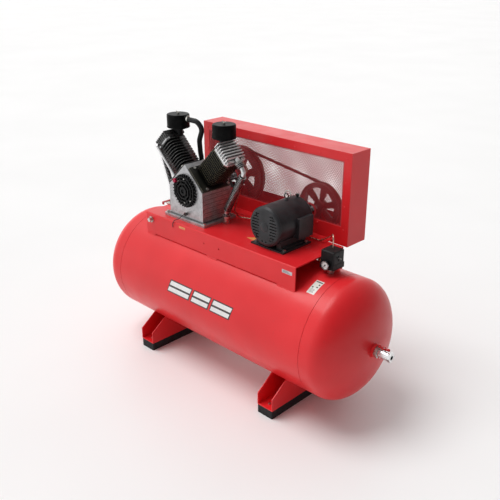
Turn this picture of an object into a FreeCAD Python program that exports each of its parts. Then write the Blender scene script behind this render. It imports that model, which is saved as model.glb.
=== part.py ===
import FreeCAD, Part
import math
import os

# Horizontal-receiver, belt-driven piston air compressor: a V-twin pump and a motor on a
# platform welded to the tank, with a belt guard behind them.
# Millimetres. X runs along the tank (+X is the outlet end), +Y points to the belt guard, +Z is up.
# The origin is on the floor, at the centre of the four anchor holes.

V = FreeCAD.Vector
X = V(1, 0, 0)
Y = V(0, 1, 0)
Z = V(0, 0, 1)

# ---- driving dimensions: receiver ----
tank_r = 304.8
tank_wall = 5.0
tank_z = 416.2
seam_x = 669.5
seam_gap = 2.0
head_flange = 50.0
head_depth = tank_r / 2
foot_x = 463.2
foot_w = 98.8
foot_half_y = 297.5
foot_plate = 5.0
foot_front_h = 112.0
foot_meet_y = 197.0
pad_h = 45.0
anchor_y = 215.0
anchor_r = 7.0
foot_screw_y = 262.0

# ---- driving dimensions: platform and guard ----
plat_x0 = -556.5
plat_x1 = 536.2
plat_half_y = 180.0
plat_z = 787.1
plat_t = 6.0
guard_x0 = -495.7
guard_x1 = 536.2
guard_y0 = 211.2
guard_y1 = 356.9
guard_z0 = 770.0
guard_z1 = 1242.9
guard_t = 2.5
guard_border = 44.0
guard_sill = 96.0

# ---- driving dimensions: pump ----
pump_x = -287.0
crank_z = 954.0
case_y0 = -118.0
case_y1 = 87.0
case_half = 131.0
deck = 100.0
case_wall = 9.0
flange_n0 = -72.0
flange_n1 = 84.0
flange_t = 10.0
base_plate_h = 14.0
crank_throw = 20.0
bore_r = 44.0
barrel_r = 52.0
rod_pitch = 25.0
bank_mid_y = -15.5
rod_length = 212.0
head_u = 292.0
port_rise = 24.0
unloader_dy = 38.0
breather_x = -368.0
breather_y = 72.5
valve_plate_t = 8.0
cyl_head_t = 40.0
fin_half = 65.0
filter_dx = 178.0
filter_r = 61.0
filter_z0 = 1247.0
filter_z1 = 1319.0

# ---- driving dimensions: drive and motor ----
belt_y = 300.0
belt_w = 16.0
belt_t = 11.0
flywheel_r = 162.0
pulley_r = 127.0
motor_x = 290.0
motor_z = 904.0
motor_r = 100.0
motor_y0 = -112.0
motor_y1 = 110.0
shaft_r = 14.0
bell_depth = 15.0
reset_dx = 10.0
reset_y = 102.0

# ---- driving dimensions: outlet valve and pressure switch ----
coupling_r = 33.0
coupling_x0 = 852.0
coupling_x1 = 886.0
valve_x0 = 900.0
valve_x1 = 968.0
valve_stem_x = 925.0
valve_bore_r = 10.5
switch_x = 598.0
switch_y = 5.0
switch_z0 = 752.0
switch_z1 = 842.0

# ---- running clearances ----
run_gap = 0.05
side_gap = 0.3


def box(x0, x1, y0, y1, z0, z1):
    return Part.makeBox(x1 - x0, y1 - y0, z1 - z0, V(x0, y0, z0))


def rod(r, p, d, h):
    return Part.makeCylinder(r, h, p, d)


def ring(r_out, r_in, p, d, h):
    return rod(r_out, p, d, h).cut(rod(r_in, p - d, d, h + 2))


def prism(points, extrude):
    return Part.Face(Part.makePolygon(points + [points[0]])).extrude(extrude)


def regular(n, r, p, d, h, turn=0.0):
    """Prism on an n-sided polygon of corner radius r, from p along d."""
    side = X if abs(d.dot(Y)) > 0.9 or abs(d.dot(Z)) > 0.9 else Y
    other = d.cross(side)
    corners = []
    for i in range(n):
        a = math.radians(turn) + 2 * math.pi * i / n
        corners.append(p + side * (r * math.cos(a)) + other * (r * math.sin(a)))
    return prism(corners, d * h)


def fuse(shapes):
    result = shapes[0]
    if len(shapes) > 1:
        result = result.multiFuse(shapes[1:])
    return result.removeSplitter()


def turned(profile, p, axis):
    """Solid of revolution of a closed list of edges about the line p, axis."""
    return Part.Face(Part.Wire(Part.__sortEdges__(profile))).revolve(p, axis, 360)


def turned_polygon(points, p, axis):
    return Part.Face(Part.makePolygon(points + [points[0]])).revolve(p, axis, 360)


def mirror_x(shape, x=0.0):
    return shape.mirror(V(x, 0, 0), X)


def bend_path(points, radii):
    """Straight runs joined by tangent arcs: one radius for each inner point."""
    edges = []
    start = points[0]
    for i, radius in enumerate(radii):
        corner = points[i + 1]
        a = (points[i] - corner).normalize()
        b = (points[i + 2] - corner).normalize()
        half = a.getAngle(b) / 2
        back = radius / math.tan(half)
        p0 = corner + a * back
        p1 = corner + b * back
        centre = corner + (a + b).normalize() * (radius / math.sin(half))
        mid = centre + (corner - centre).normalize() * radius
        edges.append(Part.LineSegment(start, p0).toShape())
        edges.append(Part.Arc(p0, mid, p1).toShape())
        start = p1
    edges.append(Part.LineSegment(start, points[-1]).toShape())
    return Part.Wire(edges)


def pipe(points, radii, r):
    path = bend_path(points, radii)
    direction = (points[1] - points[0]).normalize()
    circle = Part.Wire(Part.Circle(points[0], direction, r).toShape())
    shape = path.makePipeShell([circle], True, False)
    expected = math.pi * r * r * path.Length
    print("pipe: radii", [round(q, 1) for q in radii], "length", round(path.Length, 1),
          "volume ratio", round(shape.Volume / expected, 4))
    return shape


def finned_tube(points, radii, r, fin_r, pitch, fin_t, margin):
    """Smooth tube with round fins square to its straight runs."""
    shapes = [pipe(points, radii, r)]
    path = bend_path(points, radii)
    for edge in path.Edges:
        if edge.Curve.TypeId != "Part::GeomLine":
            continue
        p0 = edge.Vertexes[0].Point
        p1 = edge.Vertexes[1].Point
        run = p1 - p0
        length = run.Length
        d = run.normalize()
        count = int((length - 2 * margin) / pitch)
        for i in range(count + 1):
            shapes.append(rod(fin_r, p0 + d * (margin + i * pitch), d, fin_t))
    return fuse(shapes)


def hex_bolt(p, d, r, head_h, shank_r, shank_l, turn=0.0):
    """Hexagon head standing from p along d, with its shank the other way."""
    return fuse([regular(6, r, p, d, head_h, turn), rod(shank_r, p - d * shank_l, d, shank_l + 1)])


# ---------------------------------------------------------------- receiver
def tank_shell():
    half = seam_x - seam_gap / 2
    c = V(-half, 0, tank_z)
    shell = ring(tank_r, tank_r - tank_wall, c, X, 2 * half)
    top = V(0, 0, tank_z)
    for x, y in check_valve_places() + [(switch_x, switch_y)]:
        shell = shell.cut(rod(13.3, top + V(x, y, 0), Z, tank_r + 10))
    return shell.cut(rod(9.3, top, Z * -1, tank_r + 10))


def tank_head_shell():
    x0 = seam_x + seam_gap / 2
    x1 = seam_x + head_flange
    a = tank_r
    t = tank_wall
    c = V(x1, 0, tank_z)
    lap_r = tank_r - tank_wall - 0.2
    outer = Part.Ellipse(c + Z * a, c + X * head_depth, c)
    inner = Part.Ellipse(c + Z * (lap_r - t), c + X * (head_depth - t), c)
    points = [
        c + Z * a,
        V(x0, 0, tank_z + a),
        V(x0, 0, tank_z + lap_r),
        V(x0 - 30, 0, tank_z + lap_r),
        V(x0 - 30, 0, tank_z + lap_r - t),
        c + Z * (lap_r - t),
    ]
    edges = [Part.LineSegment(points[i], points[i + 1]).toShape() for i in range(5)]
    edges.append(Part.ArcOfEllipse(outer, 0, math.pi / 2).toShape())
    edges.append(Part.ArcOfEllipse(inner, 0, math.pi / 2).toShape())
    edges.append(Part.LineSegment(c + X * (head_depth - t), c + X * head_depth).toShape())
    return turned(edges, V(0, 0, tank_z), X)


def tank_head(side):
    """Head with its end coupling let in: open on the outlet's side, plugged on the other."""
    head = tank_head_shell().cut(rod(coupling_r + 0.2, V(800, 0, tank_z), X, 120))
    bore = 14.0
    coupling = ring(coupling_r, bore, V(coupling_x0, 0, tank_z), X, coupling_x1 - coupling_x0)
    if side > 0:
        return Part.makeCompound([head, coupling])
    plug = rod(bore - 0.1, V(coupling_x1 - 18, 0, tank_z), X, 18)
    plug = plug.cut(regular(4, 9.0, V(coupling_x1 - 8, 0, tank_z), X, 10))
    return Part.makeCompound([mirror_x(s) for s in (head, coupling, plug)])


def foot(sx):
    """Upward-opening channel across the tank, with its two flanges cut to the shell."""
    x0 = sx * foot_x - foot_w / 2
    x1 = x0 + foot_w
    web = box(x0, x1, -foot_half_y, foot_half_y, pad_h, pad_h + foot_plate)
    meet_z = tank_z - math.sqrt(tank_r ** 2 - foot_meet_y ** 2)
    outline = [
        (-foot_half_y, pad_h), (foot_half_y, pad_h), (foot_half_y, foot_front_h),
        (foot_meet_y, meet_z), (-foot_meet_y, meet_z), (-foot_half_y, foot_front_h),
    ]
    parts = [web]
    for x in (x0, x1 - foot_plate):
        parts.append(prism([V(x, y, z) for y, z in outline], X * foot_plate))
    shape = fuse(parts).cut(rod(tank_r + 0.2, V(x0 - 10, 0, tank_z), X, foot_w + 20))
    for sy in (-1, 1):
        shape = shape.cut(rod(anchor_r, V(sx * foot_x, sy * anchor_y, pad_h - 1), Z, 20))
        shape = shape.cut(rod(4.2, V(sx * foot_x, sy * foot_screw_y, pad_h - 1), Z, 20))
    return shape


def foot_pads():
    pads = []
    for sx in (-1, 1):
        x0 = sx * foot_x - foot_w / 2
        pad = box(x0, x0 + foot_w, -foot_half_y, foot_half_y, 0, pad_h)
        upright = [e for e in pad.Edges if abs(e.Vertexes[0].Z - e.Vertexes[1].Z) > 1]
        pad = pad.makeFillet(6, upright)
        for sy in (-1, 1):
            pad = pad.cut(rod(anchor_r, V(sx * foot_x, sy * anchor_y, -1), Z, pad_h + 2))
            pad = pad.cut(rod(4.2, V(sx * foot_x, sy * foot_screw_y, 10), Z, pad_h))
        pads.append(pad)
    return Part.makeCompound(pads)


def skirt_notches():
    return [(-484.0, -63.0), (11.0, 426.0)]


def platform():
    skirt_z = tank_z + math.sqrt(tank_r ** 2 - plat_half_y ** 2)
    outer = box(plat_x0, plat_x1, -plat_half_y, plat_half_y, skirt_z, plat_z)
    inner = box(plat_x0 - 1, plat_x1 + 1, plat_t - plat_half_y, plat_half_y - plat_t,
                skirt_z - 1, plat_z - plat_t)
    folds = [e for e in outer.Edges
             if abs(e.Vertexes[0].Z - plat_z) < 0.1 and abs(e.Vertexes[1].Z - plat_z) < 0.1
             and abs(e.Vertexes[0].X - e.Vertexes[1].X) > 1]
    shape = outer.makeFillet(7, folds).cut(inner)
    for x0, x1 in skirt_notches():
        shape = shape.cut(box(x0, x1, -plat_half_y - 1, plat_half_y + 1, skirt_z - 1, skirt_z + 9))
    for x in (-84.0, 27.0):
        shape = shape.cut(rod(4.5, V(x, -plat_half_y - 1, 729), Y, 12))
    for x, y in check_valve_places():
        shape = shape.cut(rod(14.0, V(x, y, plat_z - 10), Z, 20))
    return shape.cut(rod(tank_r + 0.1, V(plat_x0 - 5, 0, tank_z), X, plat_x1 - plat_x0 + 10))


def check_valve_places():
    """Where the two delivery tubes come down through the platform into the tank."""
    return [(-104.0, 2.0), (-484.0, -28.0)]


def pipe_fittings():
    """Check valves, tank plug, switch nipple, outlet nipple and the pump's oil drain cock."""
    parts = []
    for x, y in check_valve_places():
        low = V(x, y, tank_z + tank_r - 8)
        stem = ring(13.0, 8.0, low, Z, plat_z + 6 - low.z)
        nut = regular(6, 21.0, V(x, y, plat_z + 0.3), Z, 15.0)
        collar = rod(17.0, V(x, y, plat_z + 15), Z, 12.0)
        parts.append(fuse([stem, nut, collar]))
    plug = V(-512, -plat_half_y, 752)
    parts.append(fuse([rod(17.0, plug, Y * -1, 6.0), regular(6, 13.0, plug, Y * -1, 20.0)]))
    sw = V(switch_x, switch_y, 0)
    nipple = ring(13.0, 8.0, sw + Z * (tank_z + tank_r - 8), Z, 39.5)
    parts.append(fuse([nipple, regular(6, 17.0, sw + Z * (tank_z + tank_r + 2), Z, 13.0)]))
    hexagon = regular(6, 29.0, V(coupling_x1 + 0.1, 0, tank_z), X, valve_x0 - coupling_x1 - 0.2)
    parts.append(hexagon.cut(rod(12.0, V(coupling_x1 - 1, 0, tank_z), X, 20)))
    parts.append(oil_drain_cock())
    return Part.makeCompound(parts)


def frame_bolts():
    """Pad screws, pump and motor hold-down bolts, guard bolts and the motor's lifting eye."""
    parts = []
    for sx in (-1, 1):
        for sy in (-1, 1):
            p = V(sx * foot_x, sy * foot_screw_y, pad_h + foot_plate)
            parts.append(hex_bolt(p, Z, 8.0, 6.0, 4.0, 34.0))
    for x, y in pump_bolt_places():
        parts.append(hex_bolt(V(x, y, plat_z + base_plate_h), Z, 10.0, 8.0, 5.0, base_plate_h))
    for x, y in motor_bolt_places():
        parts.append(hex_bolt(V(x, y, plat_z + 8), Z, 9.0, 7.0, 5.0, 8.0))
    for x in (-440.0, -60.0, 120.0, 415.0):
        parts.append(hex_bolt(V(x, 166, plat_z + 0.2 + guard_t), Z, 7.0, 5.0, 4.0, guard_t))
    eye = V(276, 58, motor_z + motor_r + 21)
    stem = rod(5.0, V(276, 58, motor_z + motor_r - 1.3), Z, 7.0)
    parts.append(fuse([Part.makeTorus(17.0, 2.2, eye, Y), stem]))
    return Part.makeCompound(parts)


def pump_bolt_places():
    return [(pump_x + sx * (case_half + 17), y) for sx in (-1, 1) for y in (-122.0, 84.0)]


def motor_bolt_places():
    return [(motor_x + sx * 92, y) for sx in (-1, 1) for y in (-82.0, 76.0)]


# ---------------------------------------------------------------- drain and outlet valve
def drain_valve():
    bottom = tank_z - tank_r
    stem = rod(9.0, V(0, 0, bottom - 14), Z, 24)
    body = regular(6, 14.0, V(0, 0, bottom - 30), Z, 18)
    spout = rod(5.0, V(0, 0, bottom - 21), Y * -1, 26)
    socket = rod(6.0 + run_gap, V(0, 0, bottom - 31), Z, 12)
    return fuse([stem, body, spout]).cut(socket)


def drain_key():
    bottom = tank_z - tank_r
    screw = rod(6.0, V(0, 0, bottom - 36), Z, 16)
    bar = box(-19, 19, -2.5, 2.5, bottom - 50, bottom - 36)
    ends = [e for e in bar.Edges if abs(e.Vertexes[0].Y - e.Vertexes[1].Y) > 1]
    return fuse([screw, bar.makeFillet(5, ends)])


def ball_valve_body():
    c = V(valve_x0, 0, tank_z)
    length = valve_x1 - valve_x0
    body = fuse([
        regular(6, 24.0, c, X, 13),
        rod(20.5, c, X, length),
        regular(6, 24.0, c + X * (length - 14), X, 14),
        rod(9.0, V(valve_stem_x, 0, tank_z), Z, 27),
    ])
    body = body.cut(rod(valve_bore_r, c - X, X, length + 2))
    body = body.cut(Part.makeSphere(16.0, V(valve_stem_x, 0, tank_z)))
    return body.cut(rod(4.5 + run_gap, V(valve_stem_x, 0, tank_z), Z, 40))


def ball_valve_ball():
    c = V(valve_stem_x, 0, tank_z)
    ball = Part.makeSphere(15.6, c).cut(rod(valve_bore_r, c - X * 20, X, 40))
    return fuse([ball, rod(4.5, c + Z * 13, Z, 22)])


def ball_valve_lever():
    z0 = tank_z + 28
    c = V(valve_stem_x, 0, 0)
    bar = box(c.x - 29, c.x + 29, -5, 5, z0, z0 + 5)
    parts = [rod(9.0, V(c.x, 0, z0), Z, 8), bar]
    for s in (-1, 1):
        grip = box(c.x + s * 24 - 6, c.x + s * 24 + 6, -6, 6, z0, z0 + 10)
        parts.append(grip.makeFillet(3, grip.Edges))
    return fuse(parts).cut(rod(4.5, V(c.x, 0, z0 - 1), Z, 20))


# ---------------------------------------------------------------- pump
def bank_place(side):
    """Turns a shape built upright on the crank axis into the bank on that side."""
    y = bank_mid_y + side * rod_pitch / 2
    return FreeCAD.Placement(V(pump_x, y, crank_z), FreeCAD.Rotation(Y, 45 * side))


def in_bank(shape, side):
    """Shapes are built with local +X on the outer, lower side of the bank."""
    if side < 0:
        shape = mirror_x(shape)
    moved = shape.copy()
    moved.Placement = bank_place(side).multiply(shape.Placement)
    return moved


def bank_point(u, n, dy, side):
    """World point at distance u along the bank, n to its lower side and dy behind its middle."""
    s = math.sqrt(0.5)
    y = bank_mid_y + side * rod_pitch / 2 + dy
    return V(pump_x + side * (u + n) * s, y, crank_z + (u - n) * s)


def house(half, roof, y0, y1, z0):
    """Five-sided prism: upright walls under two roof faces at 45 degrees."""
    eave = roof * math.sqrt(2) - half
    points = [
        V(pump_x - half, y0, z0), V(pump_x + half, y0, z0),
        V(pump_x + half, y0, crank_z + eave),
        V(pump_x, y0, crank_z + roof * math.sqrt(2)),
        V(pump_x - half, y0, crank_z + eave),
    ]
    return prism(points, Y * (y1 - y0))


def crankcase():
    outer = house(case_half, deck, case_y0, case_y1, plat_z + 1)
    plate = box(pump_x - case_half - 30, pump_x + case_half + 30, case_y0 - 20, case_y1 + 14,
                plat_z, plat_z + base_plate_h)
    corners = [e for e in plate.Edges if abs(e.Vertexes[0].Z - e.Vertexes[1].Z) > 1]
    parts = [outer, plate.makeFillet(8, corners)]
    for i in range(6):
        z = plat_z + 34 + 24 * i
        parts.append(box(pump_x - case_half - 2.5, pump_x + case_half + 2.5,
                         case_y0 + 12, case_y1 - 12, z, z + 6))
    parts.append(rod(14.0, V(breather_x, breather_y, crank_z + 50), Z, 46))
    inner = house(case_half - case_wall, deck - case_wall, case_y0 + case_wall,
                  case_y1 - case_wall, plat_z + 10)
    axis = V(pump_x, case_y0 - 1, crank_z)
    cuts = [inner, rod(31.0 + run_gap, axis, Y, 20), rod(60.0, V(pump_x, 60, crank_z), Y, 40)]
    for side in (-1, 1):
        cuts.append(in_bank(rod(50.0, V(0, 0, 60), Z, 60), side))
    for x, y in pump_bolt_places():
        cuts.append(rod(5.5, V(x, y, plat_z - 1), Z, 30))
    shape = fuse(parts)
    for c in cuts:
        shape = shape.cut(c)
    return shape


def bearing_cover():
    """Octagonal front cover with raised rings, spokes and an outer row of teeth."""
    c = V(pump_x, case_y0, crank_z)
    out = Y * -1
    eighth = 22.5
    plate = regular(8, 86.0, c, out, 6, eighth)
    parts = [plate, rod(24.0, c, out, 20), rod(13.0, oil_cap_place(), out, 8)]
    for r_out, r_in, h in ((82.0, 76.0, 16.0), (65.0, 59.0, 18.0), (46.0, 39.0, 20.0)):
        parts.append(regular(8, r_out, c, out, h, eighth).cut(regular(8, r_in, c, out, h + 1, eighth)))
    for i in range(8):
        spoke = box(pump_x - 3, pump_x + 3, case_y0 - 14, case_y0, crank_z + 20, crank_z + 76)
        spoke.rotate(V(pump_x, 0, crank_z), Y, 45.0 * i + eighth)
        parts.append(spoke)
    for i in range(32):
        tooth = box(pump_x - 2.5, pump_x + 2.5, case_y0 - 12, case_y0, crank_z + 72, crank_z + 90)
        tooth.rotate(V(pump_x, 0, crank_z), Y, 360.0 * i / 32)
        parts.append(tooth)
    shape = fuse(parts).cut(rod(13.3, oil_cap_place() + out * 8, out, 30))
    shape = shape.cut(rod(6.1, oil_cap_place() + out, out, 30))
    return shape.cut(rod(19.0, c - out, out, 12)).cut(rod(13.0, c + out * 15, out, 10))


def oil_cap_place():
    return V(pump_x - 67, case_y0, crank_z + 46)


def rear_housing():
    points = [
        V(pump_x + r, y, crank_z) for r, y in
        ((31.05, 78.0), (59.5, 78.0), (59.5, 87.3), (84.0, 87.3), (84.0, 98.0), (56.0, 104.0),
         (46.0, 140.0), (46.0, 156.0), (20.3, 156.0), (20.3, 146.0), (31.05, 146.0))
    ]
    return turned_polygon(points, V(pump_x, 0, crank_z), Y)


def ball_bearings():
    """Main bearings of the pump and both bearings of the motor."""
    parts = []
    for x, z, y, width, r_out, r_in in (
            (pump_x, crank_z, case_y0 + 1, 17.0, 31.0, 17.5),
            (pump_x, crank_z, 120.0, 18.0, 31.0, 20.0),
            (motor_x, motor_z, motor_y0 - 4, 14.0, 26.0, shaft_r),
            (motor_x, motor_z, motor_y1 + 2, 14.0, 26.0, shaft_r)):
        race = ring(r_out, r_in + run_gap, V(x, y, z), Y, width)
        mid = (r_out + r_in) / 2
        for face in (y - 1, y + width - 2):
            race = race.cut(ring(mid + 3, mid - 3, V(x, face, z), Y, 3))
        parts.append(race)
    return Part.makeCompound(parts)


def crankshaft():
    axis = V(pump_x, 0, crank_z)
    pin = axis + Z * crank_throw
    pin_y0 = bank_mid_y - rod_pitch - 2
    pin_y1 = bank_mid_y + rod_pitch + 2
    parts = [
        rod(17.5, axis + Y * (case_y0 - 6), Y, pin_y0 - case_y0 + 6),
        rod(16.0, pin + Y * (pin_y0 - 2), Y, pin_y1 - pin_y0 + 4),
        rod(20.0, axis + Y * pin_y1, Y, 156 - pin_y1),
        rod(19.0, axis + Y * 150, Y, belt_y + 30 - 150),
    ]
    for y in (pin_y0 - 16, pin_y1):
        web = rod(46.0, axis + Y * y, Y, 16)
        parts.append(web)
    return fuse(parts)


def conrod(side):
    """Rod parallel to its bank, with its big end on the crank pin."""
    y = bank_mid_y + side * rod_pitch / 2
    pin = V(pump_x, y, crank_z + crank_throw)
    along = V(side * math.sqrt(0.5), 0, math.sqrt(0.5))
    small = pin + along * rod_length
    t = Y * 11
    blade = box(-9, 9, -5, 5, 20, rod_length - 8)
    blade.Placement = FreeCAD.Placement(pin, FreeCAD.Rotation(Y, 45 * side))
    shape = fuse([rod(26.0, pin - t, Y, 22), rod(12.5, small - t, Y, 22), blade])
    shape = shape.cut(rod(16.0 + run_gap, pin - Y * 20, Y, 40))
    return shape.cut(rod(9.1, small - Y * 20, Y, 40))


def piston(side):
    """Trunk piston with two ring grooves and the ends of its wrist pin."""
    rise = crank_throw * math.sqrt(0.5)
    crown = head_u - 1 - crank_throw + rise
    pin_u = rod_length + rise
    r = bore_r - side_gap
    body = rod(r, V(0, 0, crown - 92), Z, 92).cut(rod(39.9, V(0, 0, crown - 97), Z, 92))
    for k in range(3):
        z = crown - 9 - 7 * k
        body = body.cut(ring(r + 1, r - 2.5, V(0, 0, z), Z, 2.5))
    parts = [body]
    for s in (-1, 1):
        boss = ring(15.0, 9.0, V(0, s * 12.5, pin_u), Y * s, 30)
        parts.append(boss.common(rod(r - 1, V(0, 0, crown - 92), Z, 92)))
    shell = fuse(parts)
    for s in (-1, 1):
        shell = shell.cut(rod(9.0, V(0, s * 12.5, pin_u), Y * s, 40))
    pins = [rod(9.0, V(0, s * 12.5, pin_u), Y * s, 28) for s in (-1, 1)]
    return in_bank(Part.makeCompound([shell] + pins), side)


def chamfered_square(half, c, z0, h):
    points = [
        V(half - c, -half, z0), V(half, c - half, z0), V(half, half - c, z0), V(half - c, half, z0),
        V(c - half, half, z0), V(-half, half - c, z0), V(-half, c - half, z0), V(c - half, -half, z0),
    ]
    return prism(points, Z * h)


def cylinder_flange(side):
    """Foot plate on the roof of the crankcase: the left one stops short of the breather port."""
    bank_y = bank_mid_y + side * rod_pitch / 2
    y0 = case_y0 + 4 - bank_y
    y1 = (case_y1 - 4 if side > 0 else breather_y - 17) - bank_y
    plate = box(flange_n0, flange_n1, y0, y1, deck + 0.1, deck + flange_t)
    return plate.makeFillet(8, [e for e in plate.Edges if abs(e.Vertexes[0].Z - e.Vertexes[1].Z) > 1])


def cylinder(side, fin_count):
    first = deck + 20
    pitch = (head_u - 8 - first) / (fin_count - 1)
    parts = [
        rod(49.7, V(0, 0, deck - 14), Z, 15),
        rod(barrel_r, V(0, 0, deck), Z, head_u - deck),
        cylinder_flange(side),
    ]
    for i in range(fin_count):
        parts.append(chamfered_square(fin_half, 17.0, first + pitch * i, 3.2))
    parts.append(chamfered_square(fin_half - 2, 17.0, head_u - 6, 6))
    shape = fuse(parts).cut(rod(bore_r, V(0, 0, 0), Z, 400))
    return in_bank(shape, side)


def valve_plates():
    plates = []
    for side in (-1, 1):
        plate = chamfered_square(fin_half - 3, 15.0, head_u + 0.1, valve_plate_t - 0.2)
        for x in (-16, 16):
            plate = plate.cut(rod(9.0, V(x, 0, head_u - 1), Z, 20))
        plates.append(in_bank(plate, side))
    return Part.makeCompound(plates)


def head_ports(side, half, z):
    """Bosses for the delivery tube and for the small tube of that bank."""
    dy = check_valve_places()[0 if side > 0 else 1][1] - bank_mid_y - side * rod_pitch / 2
    ports = [rod(15.0, V(half - 24, dy, z), X, 24)]
    if side > 0:
        ports.append(rod(6.0, V(half - 24, unloader_dy, z), X, 24))
    else:
        ports.append(rod(11.0, V(30, -half, z - 10), Y, 14))
    return ports


def cylinder_head(side):
    """Square head with tall fins along Y, its outer edge cut back, side ribs and two gas pockets."""
    z0 = head_u + valve_plate_t
    half = fin_half - 3
    core = chamfered_square(half - 5, 10.0, z0, 24)
    parts = [core, chamfered_square(half, 12.0, z0, 6)]
    for i in range(8):
        x = (i - 3.5) * 16.0
        parts.append(box(x - 2.6, x + 2.6, -half, half, z0 + 3, z0 + cyl_head_t))
    for i in range(3):
        z = z0 + 9 + 6.5 * i
        parts.append(chamfered_square(half - 1, 11.0, z, 2.5))
    top = z0 + cyl_head_t + 2
    wedge = prism([V(half + 2, -half - 2, z0 + 17), V(half + 2, -half - 2, top),
                   V(half - 27, -half - 2, top)], Y * (2 * half + 4))
    shape = fuse([fuse(parts).cut(wedge)] + head_ports(side, half, z0 + port_rise))
    for x0, x1 in ((-50, -4), (4, 50)):
        shape = shape.cut(box(x0, x1, -46, 46, z0 - 1, z0 + 15))
    for x in (-48, 48):
        for y in (-50, 50):
            shape = shape.cut(rod(4.0, V(x, y, z0 - 1), Z, 30))
    return in_bank(shape, side)


def pump_fasteners():
    """Head bolts, bearing-cover screws and the wing nuts of the two filters."""
    parts = []
    z0 = head_u + valve_plate_t + 24.6
    for side in (-1, 1):
        for x in (-48, 48):
            for y in (-50, 50):
                bolt = hex_bolt(V(x, y, z0), Z, 5.2, 5.0, 3.5, 22.0)
                parts.append(in_bank(bolt, side))
    for i in range(8):
        a = math.radians(45.0 * i)
        p = V(pump_x + 65 * math.cos(a), case_y0 - 6.2, crank_z + 65 * math.sin(a))
        parts.append(regular(6, 4.6, p, Y * -1, 5.0))
    for side in (-1, 1):
        parts.append(wing_nut(V(pump_x + side * filter_dx, 0, filter_z1)))
    return Part.makeCompound(parts)


def wing_nut(p):
    parts = [rod(3.0, p, Z, 12), rod(6.5, p, Z, 6)]
    for s in (-1, 1):
        parts.append(prism([p + V(s * 4, -1.5, 1), p + V(s * 15, -1.5, 12),
                            p + V(s * 10, -1.5, 14), p + V(s * 4, -1.5, 6)], Y * 3))
    return fuse(parts)


def intake_necks():
    """Flanged elbow from the upper side of each head up to its filter."""
    necks = []
    for side in (-1, 1):
        u = head_u + valve_plate_t + cyl_head_t / 2
        flange = box(-fin_half - 7, 2 - fin_half, -26, 26, u - 22, u + 22)
        flange = in_bank(flange, side)
        flange.translate(V(0, -bank_place(side).Base.y, 0))
        foot_z = crank_z + (u + fin_half - 6) * math.sqrt(0.5) - 16
        stem = rod(24.0, V(pump_x + side * filter_dx, 0, foot_z), Z, filter_z0 - foot_z)
        cup = rod(40.0, V(pump_x + side * filter_dx, 0, filter_z0 - 8), Z, 8)
        shape = fuse([flange, stem, cup])
        shape = shape.cut(rod(18.0, V(pump_x + side * filter_dx, 0, foot_z + 20), Z, 100))
        z0 = head_u + valve_plate_t
        body = box(0.2 - fin_half, 200, -100, 100, z0 - 200, z0 + cyl_head_t + 0.2)
        necks.append(shape.cut(in_bank(body, side)))
    return Part.makeCompound(necks)


def filter_can(side):
    c = V(pump_x + side * filter_dx, 0, filter_z0)
    h = filter_z1 - filter_z0
    can = rod(filter_r, c, Z, h)
    can = can.makeFillet(7, [e for e in can.Edges if abs(e.BoundBox.ZMin - filter_z1) < 0.1])
    can = can.cut(rod(filter_r - 2.5, c + Z * 3, Z, h - 6))
    can = can.cut(rod(18.0, c - Z, Z, 10))
    if side < 0:
        can = can.fuse(rod(16.5, c + V(filter_r - 5, 0, 52), X, 14))
        can = can.cut(rod(11.0, c + V(filter_r - 12, 0, 52), X, 30))
    return can.removeSplitter()


def filter_elements():
    parts = []
    for side in (-1, 1):
        c = V(pump_x + side * filter_dx, 0, filter_z0 + 3.2)
        parts.append(ring(50.0, 34.0, c, Z, filter_z1 - filter_z0 - 6.8))
    return Part.makeCompound(parts)


def breather_hose():
    """Rubber hose from the left filter, over the V and down behind the left bank."""
    x = pump_x - filter_dx + filter_r + 9.2
    z = filter_z0 + 52
    low = crank_z + 96.2
    points = [V(x, 0, z), V(-311, 0, z), V(-287, 12, z - 38), V(-328, 26, z - 107),
              V(-361, 60, z - 185), V(breather_x, breather_y, low + 34), V(breather_x, breather_y, low)]
    return pipe(points, [38.0, 38.0, 90.0, 90.0, 60.0], 13.5)


def delivery_tubes(side):
    """Finned tube from the lower side of a head to its check valve on the platform."""
    x, y = check_valve_places()[0 if side > 0 else 1]
    u = head_u + valve_plate_t + port_rise
    bank_y = bank_mid_y + side * rod_pitch / 2
    start = bank_point(u, fin_half - 2.8, y - bank_y, side)
    out = bank_point(u, fin_half + (62 if side > 0 else 34), y - bank_y, side)
    low = V(x, y, plat_z + 27.2)
    return [start, out, V(x, y, plat_z + 62), low]


def delivery_tube(side):
    points = delivery_tubes(side)
    return finned_tube(points, [30.0, 30.0], 12.0, 20.5, 8.0, 1.6, 6.0)


def small_pipes():
    """Smooth vent tube beside the left bank, and the thin unloader tube to the switch."""
    dy = -fin_half - 12
    port_u = head_u + valve_plate_t + port_rise
    vent = [bank_point(deck + flange_t + 0.2, 30, dy, -1), bank_point(port_u - 10, 30, dy, -1),
            bank_point(port_u - 10, 30, 2.8 - fin_half, -1)]
    x, y = check_valve_places()[0]
    head = bank_point(port_u, fin_half - 2.8, unloader_dy, 1)
    rear = plat_z + 7
    tube = [head, head + V(36, 0, -36), V(x, 62, plat_z + 60), V(x + 6, 90, plat_z + 12),
            V(x + 90, 138, rear), V(180, 140, rear), V(425, 142, rear), V(470, 145, rear + 32),
            V(switch_x - 14, switch_y + 22, switch_z1 + 63), V(switch_x, switch_y + 7, switch_z1 + 51),
            V(switch_x, switch_y + 7, switch_z1 + 0.2)]
    radii = [22.0, 26.0, 26.0, 40.0, 90.0, 40.0, 40.0, 16.0, 16.0]
    return Part.makeCompound([pipe(vent, [12.0], 8.0), pipe(tube, radii, 3.2)])


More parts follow.
